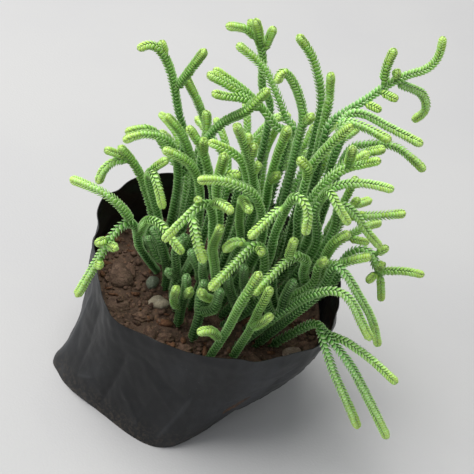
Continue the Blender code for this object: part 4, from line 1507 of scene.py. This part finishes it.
@dataclass
class LeafyStem:
    """A rooted stem with its side shoots: a round core clad in four rows of scale leaves."""

    number: int
    shoots: list
    leaf: LeafPattern
    form: BagForm
    core: float = 1.0 * MM
    core_sides: int = 8
    core_rows_apart: int = 3
    reach: float = 2.2 * MM
    foot: float = 0.76 * MM
    young_foot: float = 0.50
    leaf_length: float = 1.95 * MM
    row_pitch: float = 1.26 * MM
    tip_pitch: float = 0.62
    slack: float = 0.42
    slack_length: float = 60 * MM
    flesh: float = 0.29 * MM
    inner: float = 0.12 * MM
    keel: float = 0.16 * MM
    half_angle: float = 54.0
    young_length: float = 9 * MM
    opening_waves: float = 9 * MM
    dome: float = 2.3 * MM
    tip_gap: float = 0.55 * MM
    bare_root: float = 0.4 * MM
    bare_joint: float = 1.7 * MM
    rooted: float = 5.0 * MM
    path_step: float = 0.5 * MM
    smoothing: int = 14
    ageing: float = 75 * MM
    bud_length: float = 14 * MM
    shade_height: float = 62 * MM
    shade_fade: float = 45 * MM
    shade_aside: float = 8 * MM
    shade_aside_fade: float = 12 * MM
    painted_shade_age: float = 0.85

    def rail(self, points: np.ndarray, seed: int) -> Rail:
        """A fine path with frames that don't twist.

        Args:
            points: the shoot's points.
            seed: picks the roll of the first frame.

        Returns:
            The path.
        """
        along = lengths_along(points)
        lengths = np.linspace(0, along[-1], max(8, int(along[-1] / self.path_step)))
        path = at_lengths(points, lengths)
        for _ in range(self.smoothing):
            path[1:-1] = (path[:-2] + 2 * path[1:-1] + path[2:]) / 4
        ways = np.gradient(path, axis=0)
        ways /= np.linalg.norm(ways, axis=1, keepdims=True)
        roll = np.random.default_rng(seed).uniform(0, 2 * math.pi)
        out = np.cross(ways[0], [0.3, 0.8, 0.52])
        out /= np.linalg.norm(out)
        out = out * math.cos(roll) + np.cross(ways[0], out) * math.sin(roll)
        outs = []
        for way in ways:
            out = out - way * (out @ way)
            out = out / np.linalg.norm(out)
            outs.append(out)
        outs = np.array(outs)
        return Rail(lengths_along(path), path, ways, outs, np.cross(ways, outs))

    def envelope(self, left: np.ndarray) -> np.ndarray:
        """How far out things may reach, as a share, this far from the tip: a dome."""
        share = np.clip(left / self.dome, 0, 1)
        return np.sqrt(np.clip(1 - (1 - share) ** 2, 0, 1))

    def stations(self, start: float, end: float, draw: Any) -> np.ndarray:
        """Where the leaf pairs sit along a shoot, closer together near the tip.

        Args:
            start: the length along the shoot where its first leaves sit.
            end: the shoot's length.
            draw: picks how wide apart this shoot's pairs are.

        Returns:
            The lengths along it, from the tip down.
        """
        pitch = self.row_pitch / 2 * draw.uniform(0.88, 1.1)
        places, place = [], end - self.tip_gap
        while place > start:
            places.append(place)
            left = end - place
            crowding = self.tip_pitch + (1 - self.tip_pitch) * min(left / self.young_length, 1)
            place -= pitch * crowding * (1 + self.slack * min(left / self.slack_length, 1))
        return np.array(places)

    def ages(self, places: np.ndarray, left: np.ndarray, floor: float) -> np.ndarray:
        """How old the leaves look, 0 at a bud and up to 1 low in the thicket, with painted shade added
        to the leaves low down inside the mouth.

        Args:
            places: the places of the leaves' points.
            left: the length from each leaf to the tip, one to a row.
            floor: how old even the tip looks; the shoots in the painted shade set have a high one.

        Returns:
            An age for each point.
        """
        age = (left / self.ageing) * np.ones(places.shape[:-1])
        # Painted shade: leaves low down and inside the mouth are pushed towards the dark old-leaf
        # colour.
        low = np.clip((self.shade_height - places[..., 2]) / self.shade_fade, 0, 1)
        aside = np.linalg.norm(places[..., :2] - self.form.shift, axis=-1)
        inside = self.form.mouth + self.shade_aside - aside
        shaded = low * np.clip(inside / self.shade_aside_fade, 0, 1)
        age = np.clip(age + floor, 0, 1) * 0.75 + 0.4 * shaded
        return np.clip(np.minimum(age, left / self.bud_length + 0.02 + floor), 0, 1)

    def leaves(self, points: np.ndarray, start: float, seed: int, floor: float) -> Growth:
        """All the leaves of a shoot.

        Args:
            points: the shoot's points.
            start: the length along it where its first leaves sit.
            seed: picks the small differences between leaves.
            floor: how old even its tip looks; the shoots in the painted shade set have a high one.

        Returns:
            The leaves, one after another.
        """
        draw = np.random.default_rng(seed)
        rail = self.rail(points, seed)
        end = rail.lengths[-1]
        spots = np.repeat(self.stations(start, end, draw), 2)
        count = len(spots)
        pair = np.repeat(np.arange(count // 2), 2)
        turn = pair * math.pi / 2 + np.tile([0, math.pi], count // 2)
        turn = turn + draw.normal(0, 0.06, count) + pair * draw.uniform(-0.012, 0.012)
        left = end - spots
        grown = np.clip(left / self.young_length, 0, 1) ** 1.3
        opened = 0.5 + 0.5 * np.sin(spots / self.opening_waves + draw.uniform(0, 6.3))
        length = self.leaf_length * (0.86 + 0.14 * grown) * draw.uniform(0.92, 1.08, count)
        wide = np.radians(self.half_angle) * draw.uniform(0.92, 1.08, count)
        tip = self.reach * (0.93 + 0.04 * opened) * draw.uniform(0.96, 1.03, count)
        tip = (tip * (0.93 + 0.07 * grown))[:, None]
        foot = (self.foot + (1 - grown) * (self.young_foot * self.reach - self.foot))[:, None]
        x, y, z = (self.leaf.points[None, :, axis] for axis in range(3))
        climb = z ** (0.97 - 0.22 * (1 - grown[:, None]))
        depth = np.where(y > 0, self.flesh, self.inner) * (1 - 0.5 * z)
        reach = foot + (tip - foot) * climb + y * depth - np.abs(x) ** 2 * self.keel
        along = spots[:, None] + z * length[:, None]
        reach = np.minimum(reach, tip * 1.02) * self.envelope(end + 0.15 * MM - along)
        along = np.minimum(along, end + 0.1 * MM)
        places = rail.follow(along, turn[:, None] + x * wide[:, None], reach)
        like = np.ones_like(along)
        numbers = {
            "age": self.ages(places, left[:, None], floor),
            "along": self.leaf.along * like,
            "edge": self.leaf.edge * like,
            "tint": draw.uniform(0, 1, count)[:, None] * like,
        }
        numbers = {key: value.ravel() for key, value in numbers.items()}
        offsets = (np.arange(count) * len(self.leaf.points))[:, None, None]
        tris, quads = (faces[None] + offsets for faces in self.leaf.faces)
        return Growth(places.reshape(-1, 3), tris.reshape(-1, 3), quads.reshape(-1, 4), numbers)

    def tube(self, points: np.ndarray, seed: int, sunk: float, floor: float) -> Growth:
        """The core of a shoot, a closed round tube.

        Args:
            points: the shoot's points.
            seed: the seed that its leaves use.
            sunk: how far it goes on below its first point.
            floor: as for the leaves.

        Returns:
            The core.
        """
        around = self.core_sides
        if sunk:
            way = points[0] - points[1]
            points = np.vstack([points[0] + way / np.linalg.norm(way) * sunk, points])
        rail = self.rail(points, seed)
        rows = np.arange(0, len(rail.lengths), self.core_rows_apart)
        angle = (np.arange(around) * 2 * math.pi / around)[:, None]
        left = rail.lengths[-1] - rail.lengths[rows]
        radius = self.core * np.maximum(self.envelope(left), 0.05)
        ring = rail.outs[rows, None] * np.cos(angle) + rail.sides[rows, None] * np.sin(angle)
        places = (rail.path[rows, None] + ring * radius[:, None, None]).reshape(-1, 3)
        places = np.vstack([places, rail.path[0], rail.path[-1]])
        quads = []
        for row in range(len(rows) - 1):
            for spot in range(around):
                after = (spot + 1) % around
                a, b = row * around, (row + 1) * around
                quads.append((a + spot, a + after, b + after, b + spot))
        foot, head, last = len(places) - 2, len(places) - 1, (len(rows) - 1) * around
        caps = [(foot, (spot + 1) % around, spot) for spot in range(around)]
        caps += [(head, last + spot, last + (spot + 1) % around) for spot in range(around)]
        age = np.repeat(np.clip(left / self.ageing + floor, 0, 1), around)
        age = np.concatenate([age, [1.0, 0.0]])
        count = len(places)
        # The core takes the low along of a leaf's foot, so the material gives it the painted shade of
        # the leaves' feet.
        numbers = {"age": np.maximum(age, 0.3), "along": np.full(count, 0.12)}
        numbers |= {"edge": np.zeros(count), "tint": np.full(count, 0.4)}
        return Growth(places, np.array(caps), np.array(quads), numbers)

    def growths(self) -> list[Growth]:
        """The core and the leaves of each shoot, in order.

        Returns:
            Two for each shoot.
        """
        found = []
        for order, shoot in enumerate(self.shoots):
            seed = 1000 * self.number + order
            # Shoots in the thicket take a dark old-leaf colour even at the tip: painted shade.
            floor = self.painted_shade_age if (self.number + 1, order) in PAINTED_SHADE_SHOOTS else 0.0
            side = shoot.parent is not None
            start, sunk = (self.bare_joint, 0.0) if side else (self.bare_root, self.rooted)
            found.append(self.tube(shoot.points, seed, sunk, floor))
            found.append(self.leaves(shoot.points, start, seed, floor))
        return found

    def build(self, material: Any) -> Any:
        """Makes the stem's mesh from its cores and leaves, and dresses it.

        Args:
            material: the material to dress it in.

        Returns:
            The finished stem.
        """
        growths = self.growths()
        starts = np.cumsum([0] + [len(growth.points) for growth in growths])
        tris = np.vstack([growth.tris + start for growth, start in zip(growths, starts)])
        quads = np.vstack([growth.quads + start for growth, start in zip(growths, starts)])
        points = np.vstack([growth.points for growth in growths])
        numbers = {
            key: np.concatenate([growth.numbers[key] for growth in growths])
            for key in growths[0].numbers
        }
        item = mesh_of(f"leafy_stem_{self.number + 1:02d}", points, [tris, quads], numbers)
        return keep(item, material, "scale_leaves", f"stem_{self.number + 1:02d}")


# --- Bag, soil and stones ---------------------------------------------------------------------


def ring_sheet(name: str, around: int, rows: int) -> Any:
    """An open tube of unit radius, one ring for each unit of height, extruded from a circle.

    Args:
        name: the object's name.
        around: how many vertices each ring has.
        rows: how many times the ring is extruded.

    Returns:
        The object. Each vertex's bearing and height say which ring and place it is.
    """
    nothing_selected()
    bpy.ops.mesh.primitive_circle_add(vertices=around, radius=1.0, fill_type="NOTHING")
    item = bpy.context.object
    item.name = item.data.name = name
    bpy.ops.object.mode_set(mode="EDIT")
    bpy.ops.mesh.select_all(action="SELECT")
    for _ in range(rows):
        bpy.ops.mesh.extrude_region_move(TRANSFORM_OT_translate={"value": (0, 0, 1)})
    bpy.ops.object.mode_set(mode="OBJECT")
    return item


def rings_of(item: Any) -> tuple[np.ndarray, np.ndarray]:
    """The bearing in degrees and the row of each vertex of a ring sheet."""
    places = places_of(item)
    return np.degrees(np.arctan2(places[:, 1], places[:, 0])), np.round(places[:, 2]).astype(int)


def close_ring(item: Any, chosen: np.ndarray) -> None:
    """Fills the hole whose edge is the chosen vertices, and turns all faces outwards.

    Args:
        item: the object.
        chosen: whether each vertex is on the edge.
    """
    for vert, pick in zip(item.data.vertices, chosen):
        vert.select = bool(pick)
    for edge in item.data.edges:
        edge.select = bool(chosen[edge.vertices[0]] and chosen[edge.vertices[1]])
    for face in item.data.polygons:
        face.select = False
    bpy.ops.object.mode_set(mode="EDIT")
    bpy.ops.mesh.edge_face_add()
    bpy.ops.mesh.select_all(action="SELECT")
    bpy.ops.mesh.normals_make_consistent(inside=False)
    bpy.ops.object.mode_set(mode="OBJECT")


def choose(item: Any) -> None:
    """Makes this object alone selected and active.

    Args:
        item: the object.
    """
    nothing_selected()
    item.select_set(True)
    bpy.context.view_layer.objects.active = item


class Crease(NamedTuple):
    """A crease: its two ends as bearing and level, and its width and rise in mm."""

    start: tuple[float, float]
    end: tuple[float, float]
    width: float
    rise: float


# The gussets' edges and middles, the folds to the base's corners, and the slack near the rim
CREASES = (
    Crease((29, 0.0), (24, 0.75), 3.0, 0.9),
    Crease((93, 0.0), (97, 0.7), 3.0, 0.9),
    Crease((209, 0.0), (203, 0.85), 3.2, 1.1),
    Crease((273, 0.0), (280, 0.65), 3.0, 0.9),
    Crease((241, 0.0), (240, 0.8), 2.2, -1.1),
    Crease((61, 0.0), (62, 0.8), 2.2, -1.1),
    Crease((213, 0.05), (240, 0.42), 1.8, 0.6),
    Crease((269, 0.05), (242, 0.42), 1.8, 0.6),
    Crease((33, 0.05), (60, 0.42), 1.8, 0.6),
    Crease((89, 0.05), (62, 0.42), 1.8, 0.6),
    Crease((196, 0.15), (188, 1.0), 4.0, -1.0),
    Crease((222, 0.2), (214, 0.95), 3.5, -0.9),
    Crease((300, 0.1), (330, 0.9), 3.5, -0.9),
    Crease((330, 0.05), (345, 1.0), 3.0, 0.8),
)


@dataclass
class FilmBag:
    """The nursery bag: thin film round the soil, creased from its gussets and base corners.

    The side patches are stretches painted lighter, as light falling on them with some dusting, and the
    rise of each is its strength.
    """

    form: BagForm
    around: int = 420
    rows: int = 72
    underside: int = 5
    film: float = 0.28 * MM
    drain_hole: float = 5 * MM
    drain_spacing: tuple[float, float] = (50 * MM, 24 * MM)
    small_creases: int = 64
    arc_of_degree: float = 0.86 * MM
    # Painted side light with some dusting: the left face at bearing 190 and, weaker, the right at 316.
    side_light_and_dust_bumps: tuple[Bump, ...] = (Bump(190, 20, 1.0), Bump(316, 24, 0.85))
    most_in: float = 1.3 * MM
    most_out: float = 1.1 * MM
    tuck: float = 1.1 * MM
    foot_height: float = 5 * MM
    slack_height: float = 8 * MM
    ear: Bump = Bump(206, 4.5, 2.4 * MM)
    ear_level: float = 0.13
    edge_waves: float = 0.5 * MM
    lowest: float = 0.02 * MM

    def creases(self) -> list[Crease]:
        """The bag's own creases, then the small ones all over it.

        Returns:
            The creases.
        """
        draw = np.random.default_rng(41)
        found = list(CREASES)
        for _ in range(self.small_creases):
            bearing, level = draw.uniform(0, 360), draw.uniform(0.02, 0.8)
            lean, rise = draw.normal(0, 14), draw.uniform(0.06, 0.42)
            end = (bearing + lean, min(level + rise, 1.0))
            width = draw.uniform(0.7, 2.2)
            stands_out = draw.choice([-1, 1]) * draw.uniform(0.15, 0.5)
            found.append(Crease((bearing, level), end, width, stands_out))
        return found

    def folds(self, bearing: np.ndarray, level: np.ndarray) -> tuple[np.ndarray, np.ndarray]:
        """How far the film stands in or out of its plain form, and how sharply it is creased.

        Args:
            bearing: bearings from the middle, in degrees.
            level: the levels of the same points.

        Returns:
            For each point, the distance outwards in metres, and the sharpness from 0 to 1.
        """
        arc, tall = self.arc_of_degree, self.form.height
        out, ridge = np.zeros_like(bearing), np.zeros_like(bearing)
        for crease in self.creases():
            (b0, l0), (b1, l1), width = crease.start, crease.end, crease.width * MM
            across = bearing_from(bearing, b0) * arc
            up = (level - l0) * tall
            way = np.array([(b1 - b0) * arc, (l1 - l0) * tall])
            size = np.hypot(*way)
            way /= size
            along = across * way[0] + up * way[1]
            aside = np.abs(across * way[1] - up * way[0])
            ends = np.clip(np.minimum(along, size - along) / (0.3 * size) + 0.15, 0, 1)
            ends = ends * ends * (3 - 2 * ends)
            out += crease.rise * MM * np.exp(-aside / width) * ends
            ridge += max(crease.rise, 0) * bell(aside, 0.6 * width) * ends
        return out, np.clip(ridge, 0, 1)

    def build(self, material: Any) -> Any:
        """Makes the bag from a ring sheet whose lowest rings are the base, and dresses it.

        Args:
            material: the material to dress it in.

        Returns:
            The finished bag.
        """
        item = ring_sheet("film_bag", self.around, self.rows + self.underside)
        bearing, row = rings_of(item)
        bearing = bearing % 360
        level = np.clip((row - self.underside) / self.rows, 0, 1)
        form = self.form
        places = form.point(bearing, level)
        plain = places.copy()
        out, ridge = self.folds(bearing, level)
        loose = np.clip((places[:, 2] - form.soil_level) / self.slack_height, 0, 1)
        out += 0.55 * MM * wavy(plain, 3, 26 * MM, 2) + 0.16 * MM * wavy(plain, 4, 8 * MM, 2)
        out += loose * 0.9 * MM * wavy(plain, 5, 22 * MM, 2)
        above = np.clip(places[:, 2] / self.foot_height, 0, 1)
        out = np.clip(out * (0.3 + 0.7 * above), -self.most_in, self.most_out)
        out -= self.tuck * (1 - above) ** 2
        out += self.ear.rise_at(bearing) * bell(level, self.ear_level)
        places += form.normal(bearing, np.clip(level, 0.02, 0.98)) * out[:, None]
        places[:, 2] = np.maximum(places[:, 2], self.lowest)
        top = np.clip((level - 0.9) / 0.1, 0, 1)
        places[:, 2] += top * self.edge_waves * wavy(plain, 6, 15 * MM, 2)
        under = np.clip(row / self.underside, 0.04, 1) ** 0.8
        below = row < self.underside
        places[below, :2] *= under[below, None]
        places[below, 2] = 0.0
        put_places(item, places)
        # The ridges carry the painted highlights along the creases, and the side patches the painted
        # side light with some dusting.
        add_numbers(item.data, "ridge", ridge)
        add_numbers(item.data, "side_light_and_dust", form.bumps_at(self.side_light_and_dust_bumps, bearing))
        close_ring(item, row == 0)
        self.add_film(item)
        self.cut_drain_holes(item)
        choose(item)
        bpy.ops.object.shade_smooth_by_angle(angle=math.radians(60))
        return keep(item, material, "black_polythene", "grow_bag")

    def add_film(self, item: Any) -> None:
        """Gives the sheet its thickness, inwards.

        Args:
            item: the bag.
        """
        choose(item)
        wall = item.modifiers.new("film", "SOLIDIFY")
        wall.thickness = self.film
        wall.offset = -1.0
        bpy.ops.object.modifier_apply(modifier=wall.name)

    def cut_drain_holes(self, item: Any) -> None:
        """Cuts the four drain holes through the base.

        Args:
            item: the bag.
        """
        turn = math.radians(self.form.base_turn)
        for along in (-0.5, 0.5):
            for across in (-0.5, 0.5):
                reach, width = along * self.drain_spacing[0], across * self.drain_spacing[1]
                x = reach * math.cos(turn) - width * math.sin(turn)
                y = reach * math.sin(turn) + width * math.cos(turn)
                nothing_selected()
                bpy.ops.mesh.primitive_cylinder_add(
                    vertices=24, radius=self.drain_hole / 2, depth=8 * MM, location=(x, y, 0)
                )
                rod = bpy.context.object
                choose(item)
                cut = item.modifiers.new("drain_hole", "BOOLEAN")
                cut.operation, cut.object = "DIFFERENCE", rod
                bpy.ops.object.modifier_apply(modifier=cut.name)
                bpy.data.objects.remove(rod, do_unlink=True)


class LooseBits(NamedTuple):
    """Small loose pieces: their name, how many, the seed of their places, and their sizes.

    The least and the largest are half-lengths in metres, and long says how much longer than wide
    they may be. Over a detail of 1 they are lumpy all over.
    """

    name: str
    count: int
    seed: int
    least: float
    largest: float
    long: float
    finish: EarthFinish
    detail: int = 1
    lifted: float = 0.22


LOOSE_BITS = (
    LooseBits("soil_crumbs", 1500, 31, 0.35 * MM, 1.7 * MM, 1.5, CRUMB),
    LooseBits("soil_lumps", 60, 35, 1.2 * MM, 3.6 * MM, 1.4, CRUMB, 4),
    LooseBits("bark_bits", 150, 32, 0.6 * MM, 2.2 * MM, 3.0, BARK),
)


def tumbled_axes(draw: Any) -> np.ndarray:
    """Three axes as rows, turned any way round and tilted a little.

    Args:
        draw: picks the turn and the tilt.

    Returns:
        A 3 by 3 array.
    """
    turn, tilt = draw.uniform(0, 2 * math.pi), draw.normal(0, 0.35)
    level = math.cos(tilt)
    along = np.array([math.cos(turn) * level, math.sin(turn) * level, math.sin(tilt)])
    across = np.array([-math.sin(turn), math.cos(turn), 0.0])
    return np.array([along, across, np.cross(along, across)])


@dataclass
class PottingMix:
    """The soil in the bag: an uneven crumbly top over a plain filling, with loose bits on it."""

    form: BagForm
    around: int = 180
    side_rows: int = 8
    top_rows: int = 62
    inset: float = 1.35 * MM
    underside: float = 1.7 * MM
    nearly: float = 0.985

    def edge(self, bearing: np.ndarray, height: np.ndarray) -> np.ndarray:
        """The filling's outline at a bearing and height, just inside the film.

        Args:
            bearing: bearings from the middle, in degrees.
            height: the height of each point above the ground.

        Returns:
            The points, one row each.
        """
        level = np.clip(height / self.form.rim(bearing), 0, 1)
        for _ in range(6):  # closing in on the level of this height
            found = self.form.point(bearing, level)
            level = np.clip(level + (height - found[:, 2]) / self.form.rim(bearing), 0, 1)
        normal = self.form.normal(bearing, np.clip(level, 0.02, 0.98))
        places = self.form.point(bearing, level) - normal * self.inset
        places[:, 2] = height
        return places

    def top(self, x: np.ndarray, y: np.ndarray) -> np.ndarray:
        """Height of the crumbly surface.

        Args:
            x: as for the form's soil.
            y: as for the form's soil.

        Returns:
            The heights above the ground.
        """
        flat = np.stack([x, y, np.zeros_like(x)], axis=1)
        lumps = 0.55 * MM * wavy(flat, 21, 9 * MM, 3)
        lumps = lumps + 0.22 * MM * np.abs(wavy(flat, 22, 3 * MM, 3))
        return self.form.soil_height(x, y) + lumps

    def build(self, material: Any) -> Any:
        """Makes the filling from a ring sheet whose upper rings close in, and dresses it.

        Args:
            material: the material to dress it in.

        Returns:
            The finished filling.
        """
        item = ring_sheet("potting_mix", self.around, self.side_rows + self.top_rows)
        bearing, row = rings_of(item)
        bearing = bearing % 360
        rise = np.clip(row / self.side_rows, 0, 1)
        rim_place = self.edge(bearing, np.full(len(row), self.form.soil_level))
        edge_top = self.top(rim_place[:, 0], rim_place[:, 1])
        low = self.underside
        places = self.edge(bearing, low + (edge_top - low) * rise)
        inward = np.clip((row - self.side_rows) / self.top_rows, 0, self.nearly)
        middle = np.array([*self.form.shift, 0.0])
        on_top = row > self.side_rows
        places[on_top] += (middle - places[on_top]) * inward[on_top, None]
        places[on_top, 2] = self.top(places[on_top, 0], places[on_top, 1])
        put_places(item, places)
        close_ring(item, row == 0)
        close_ring(item, row == row.max())
        add_numbers(item.data, "tint", 0.5 + 0.5 * wavy(places_of(item), 23, 12 * MM, 2))
        item.data.shade_smooth()
        return keep(item, material, "potting_mix", "potting_soil")

    def spot(self, draw: Any) -> tuple[float, float]:
        """A place on the soil, any place as likely as another.

        Args:
            draw: picks the place.

        Returns:
            Its x and y in metres.
        """
        bearing = draw.uniform(0, 360)
        rim = self.edge(np.array([bearing]), np.array([self.form.soil_level]))[0]
        share = math.sqrt(draw.uniform(0, 1)) * self.nearly
        x, y = (self.form.shift[axis] * (1 - share) + rim[axis] * share for axis in (0, 1))
        return x, y

    def scatter(self, bits: LooseBits) -> Any:
        """Strews small loose pieces on the soil, as one object.

        Args:
            bits: what is strewn.

        Returns:
            The object that holds them all.
        """
        draw = np.random.default_rng(bits.seed)
        nothing_selected()
        bpy.ops.mesh.primitive_ico_sphere_add(subdivisions=bits.detail, radius=1.0)
        pattern = bpy.context.object
        ball = places_of(pattern)
        faces = np.array([list(face.vertices) for face in pattern.data.polygons])
        bpy.data.objects.remove(pattern, do_unlink=True)
        points, tris, tints = [], [], []
        for number in range(bits.count):
            x, y = self.spot(draw)
            size = bits.least + (bits.largest - bits.least) * draw.uniform(0, 1) ** 3
            if bits.detail == 1:
                lumps = ball * (1 + draw.uniform(-0.28, 0.28, (len(ball), 1)))
            else:
                lumps = ball * (1 + 0.3 * wavy(ball + number, bits.seed, 1.6, 3)[:, None])
            long, wide = draw.uniform(1, bits.long), draw.uniform(0.7, 1)
            lumps = lumps * np.array([long, wide, draw.uniform(0.5, 0.8)]) * size
            height = float(self.top(np.array([x]), np.array([y]))[0]) + size * bits.lifted
            points.append(lumps @ tumbled_axes(draw) + np.array([x, y, height]))
            tris.append(faces + number * len(ball))
            tints.append(np.full(len(ball), draw.uniform(0, 1)))
        tint = {"tint": np.concatenate(tints)}
        item = mesh_of(bits.name, np.vstack(points), [np.vstack(tris)], tint)
        return keep(item, bits.finish.material(), "potting_mix")


@dataclass
class StonePiece:
    """A pebble or clod, lumpy and worn."""

    stone: Stone
    form: BagForm
    look: StoneLook
    clod_relief: float = 0.075
    stone_relief: float = 0.035

    def build(self) -> Any:
        """Makes the stone from a fine ball, and dresses it.

        Returns:
            The finished stone.
        """
        nothing_selected()
        bpy.ops.mesh.primitive_ico_sphere_add(subdivisions=5, radius=1.0)
        item = bpy.context.object
        item.name = item.data.name = self.stone.name + "_worn"
        unit = places_of(item)
        unit /= np.linalg.norm(unit, axis=1, keepdims=True)
        x, y, z = unit.T
        phase = self.stone.turn / 10
        turn = math.radians(self.stone.turn)
        lump = 1 + 0.10 * np.sin(3 * x + phase) * np.cos(2.5 * y - phase) - 0.08 * z * z
        seed = int(self.stone.turn) + 60
        rough = self.clod_relief if self.look is StoneLook.EARTH else self.stone_relief
        lump += rough * wavy(unit, seed, 1.1, 3)
        lump -= rough * 0.7 * np.abs(wavy(unit, seed + 1, 0.55, 3))
        half = np.array(self.stone.size) * MM / 2
        flat = unit[:, :2] * half[:2] * lump[:, None]
        places = np.empty_like(unit)
        places[:, 0] = flat[:, 0] * math.cos(turn) - flat[:, 1] * math.sin(turn)
        places[:, 1] = flat[:, 0] * math.sin(turn) + flat[:, 1] * math.cos(turn)
        places[:, 2] = z * half[2] * lump
        put_places(item, places + self.form.stone_middle(self.stone))
        add_numbers(item.data, "tint", 0.5 + 0.5 * wavy(unit, seed + 2, 1.5, 2))
        item.data.shade_smooth()
        material = self.look.value.material()
        return keep(item, material, self.stone.name, self.stone.name)


# --- Studio -----------------------------------------------------------------------------------


@dataclass(frozen=True)
class FloorFinish:
    """A plain pale floor with the faintest mottle."""

    pale: Colour = (0.50, 0.495, 0.49)
    deep: Colour = (0.485, 0.480, 0.480)

    def material(self) -> Any:
        """The floor's material.

        Returns:
            The material.
        """
        made = Recipe("floor_finish")
        where = made.place()
        cloud = made.noise(where, 9, 4)
        grain = made.noise(where, 900, 3)
        base = made.mix(cloud.step(0.35, 0.65), self.pale, self.deep)
        normal = made.bump(grain, 0.0002, 0.4)
        return made.finish(base_color=base, roughness=0.75 + 0.1 * grain, normal=normal)


@dataclass
class Studio:
    """The floor, the soft lights and the camera."""

    target: tuple[float, float, float] = (12.0 * MM, 3.5 * MM, 72.0 * MM)
    distance: float = 480 * MM
    elevation: float = 40.0
    roll: float = 17.0
    field_of_view: float = 22.0
    sensor: float = 36.0
    floor_size: float = 12.0
    glow: float = 0.44

    def floor(self) -> None:
        """A wide plane under the bag."""
        nothing_selected()
        bpy.ops.mesh.primitive_plane_add(size=self.floor_size, location=(0, 0, 0))
        plane = bpy.context.object
        plane.name = "floor"
        plane.data.materials.append(FloorFinish().material())

    def light(self, name: str, place: tuple, size: float, power: float, colour: Colour) -> None:
        """An area light that faces the plant.

        Args:
            name: the light's name.
            place: where it hangs.
            size: its width.
            power: in watts.
            colour: its colour.
        """
        data = bpy.data.lights.new(name, "AREA")
        data.shape, data.size, data.energy, data.color = "DISK", size, power, colour
        lamp = bpy.data.objects.new(name, data)
        bpy.context.scene.collection.objects.link(lamp)
        lamp.location = place
        way = Vector(self.target) - Vector(place)
        lamp.rotation_euler = way.to_track_quat("-Z", "Y").to_euler()

    def lights(self) -> None:
        """Soft light from above and the left, and an even glow all round."""
        self.light("overhead", (-0.35, 0.25, 1.3), 1.1, 20, (1.0, 0.995, 0.98))
        self.light("left_side", (-1.1, -0.5, 0.7), 0.8, 6, (0.98, 0.99, 1.0))
        world = bpy.data.worlds.new("studio_glow")
        bpy.context.scene.world = world
        world.use_nodes = True
        glow = world.node_tree.nodes["Background"]
        glow.inputs["Color"].default_value = (0.93, 0.96, 1.0, 1.0)
        glow.inputs["Strength"].default_value = self.glow
        bpy.context.scene.view_settings.view_transform = "Standard"

    def camera(self) -> None:
        """The camera, looking down at the plant and rolled a little."""
        rise, roll = math.radians(self.elevation), math.radians(self.roll)
        ahead = np.array([0, math.cos(rise), -math.sin(rise)])
        level, lift = np.array([1.0, 0, 0]), np.array([0, math.sin(rise), math.cos(rise)])
        right = level * math.cos(roll) + lift * math.sin(roll)
        up = -level * math.sin(roll) + lift * math.cos(roll)
        data = bpy.data.cameras.new("camera")
        data.sensor_width = self.sensor
        data.lens = self.sensor / 2 / math.tan(math.radians(self.field_of_view / 2))
        data.clip_start, data.clip_end = 0.01, 50
        eye = bpy.data.objects.new("camera", data)
        bpy.context.scene.collection.objects.link(eye)
        place = np.array(self.target) - ahead * self.distance
        rows = [[right[i], up[i], -ahead[i], place[i]] for i in range(3)] + [[0, 0, 0, 1]]
        eye.matrix_world = Matrix(rows)
        bpy.context.scene.camera = eye


def main() -> None:
    logging.basicConfig(level=logging.INFO, format="%(name)s: %(message)s")
    studio = Studio()
    studio.camera()
    studio.lights()
    studio.floor()
    FilmBag(FORM).build(FilmFinish().material())
    mix = PottingMix(FORM)
    mix.build(POTTING_MIX.material())
    for bits in LOOSE_BITS:
        mix.scatter(bits)
    for stone in STONES:
        StonePiece(stone, FORM, STONE_LOOKS[stone.name]).build()
    leaf = LeafPattern()
    leaf.shape()
    skin = LeafFinish().material()
    shoots = Layout(FORM).all_shoots()
    for number in range(len(STEMS)):
        own = [shoot for shoot in shoots if shoot.stem == number]
        LeafyStem(number, own, leaf, FORM).build(skin)
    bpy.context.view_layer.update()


if __name__ == "__main__":
    main()
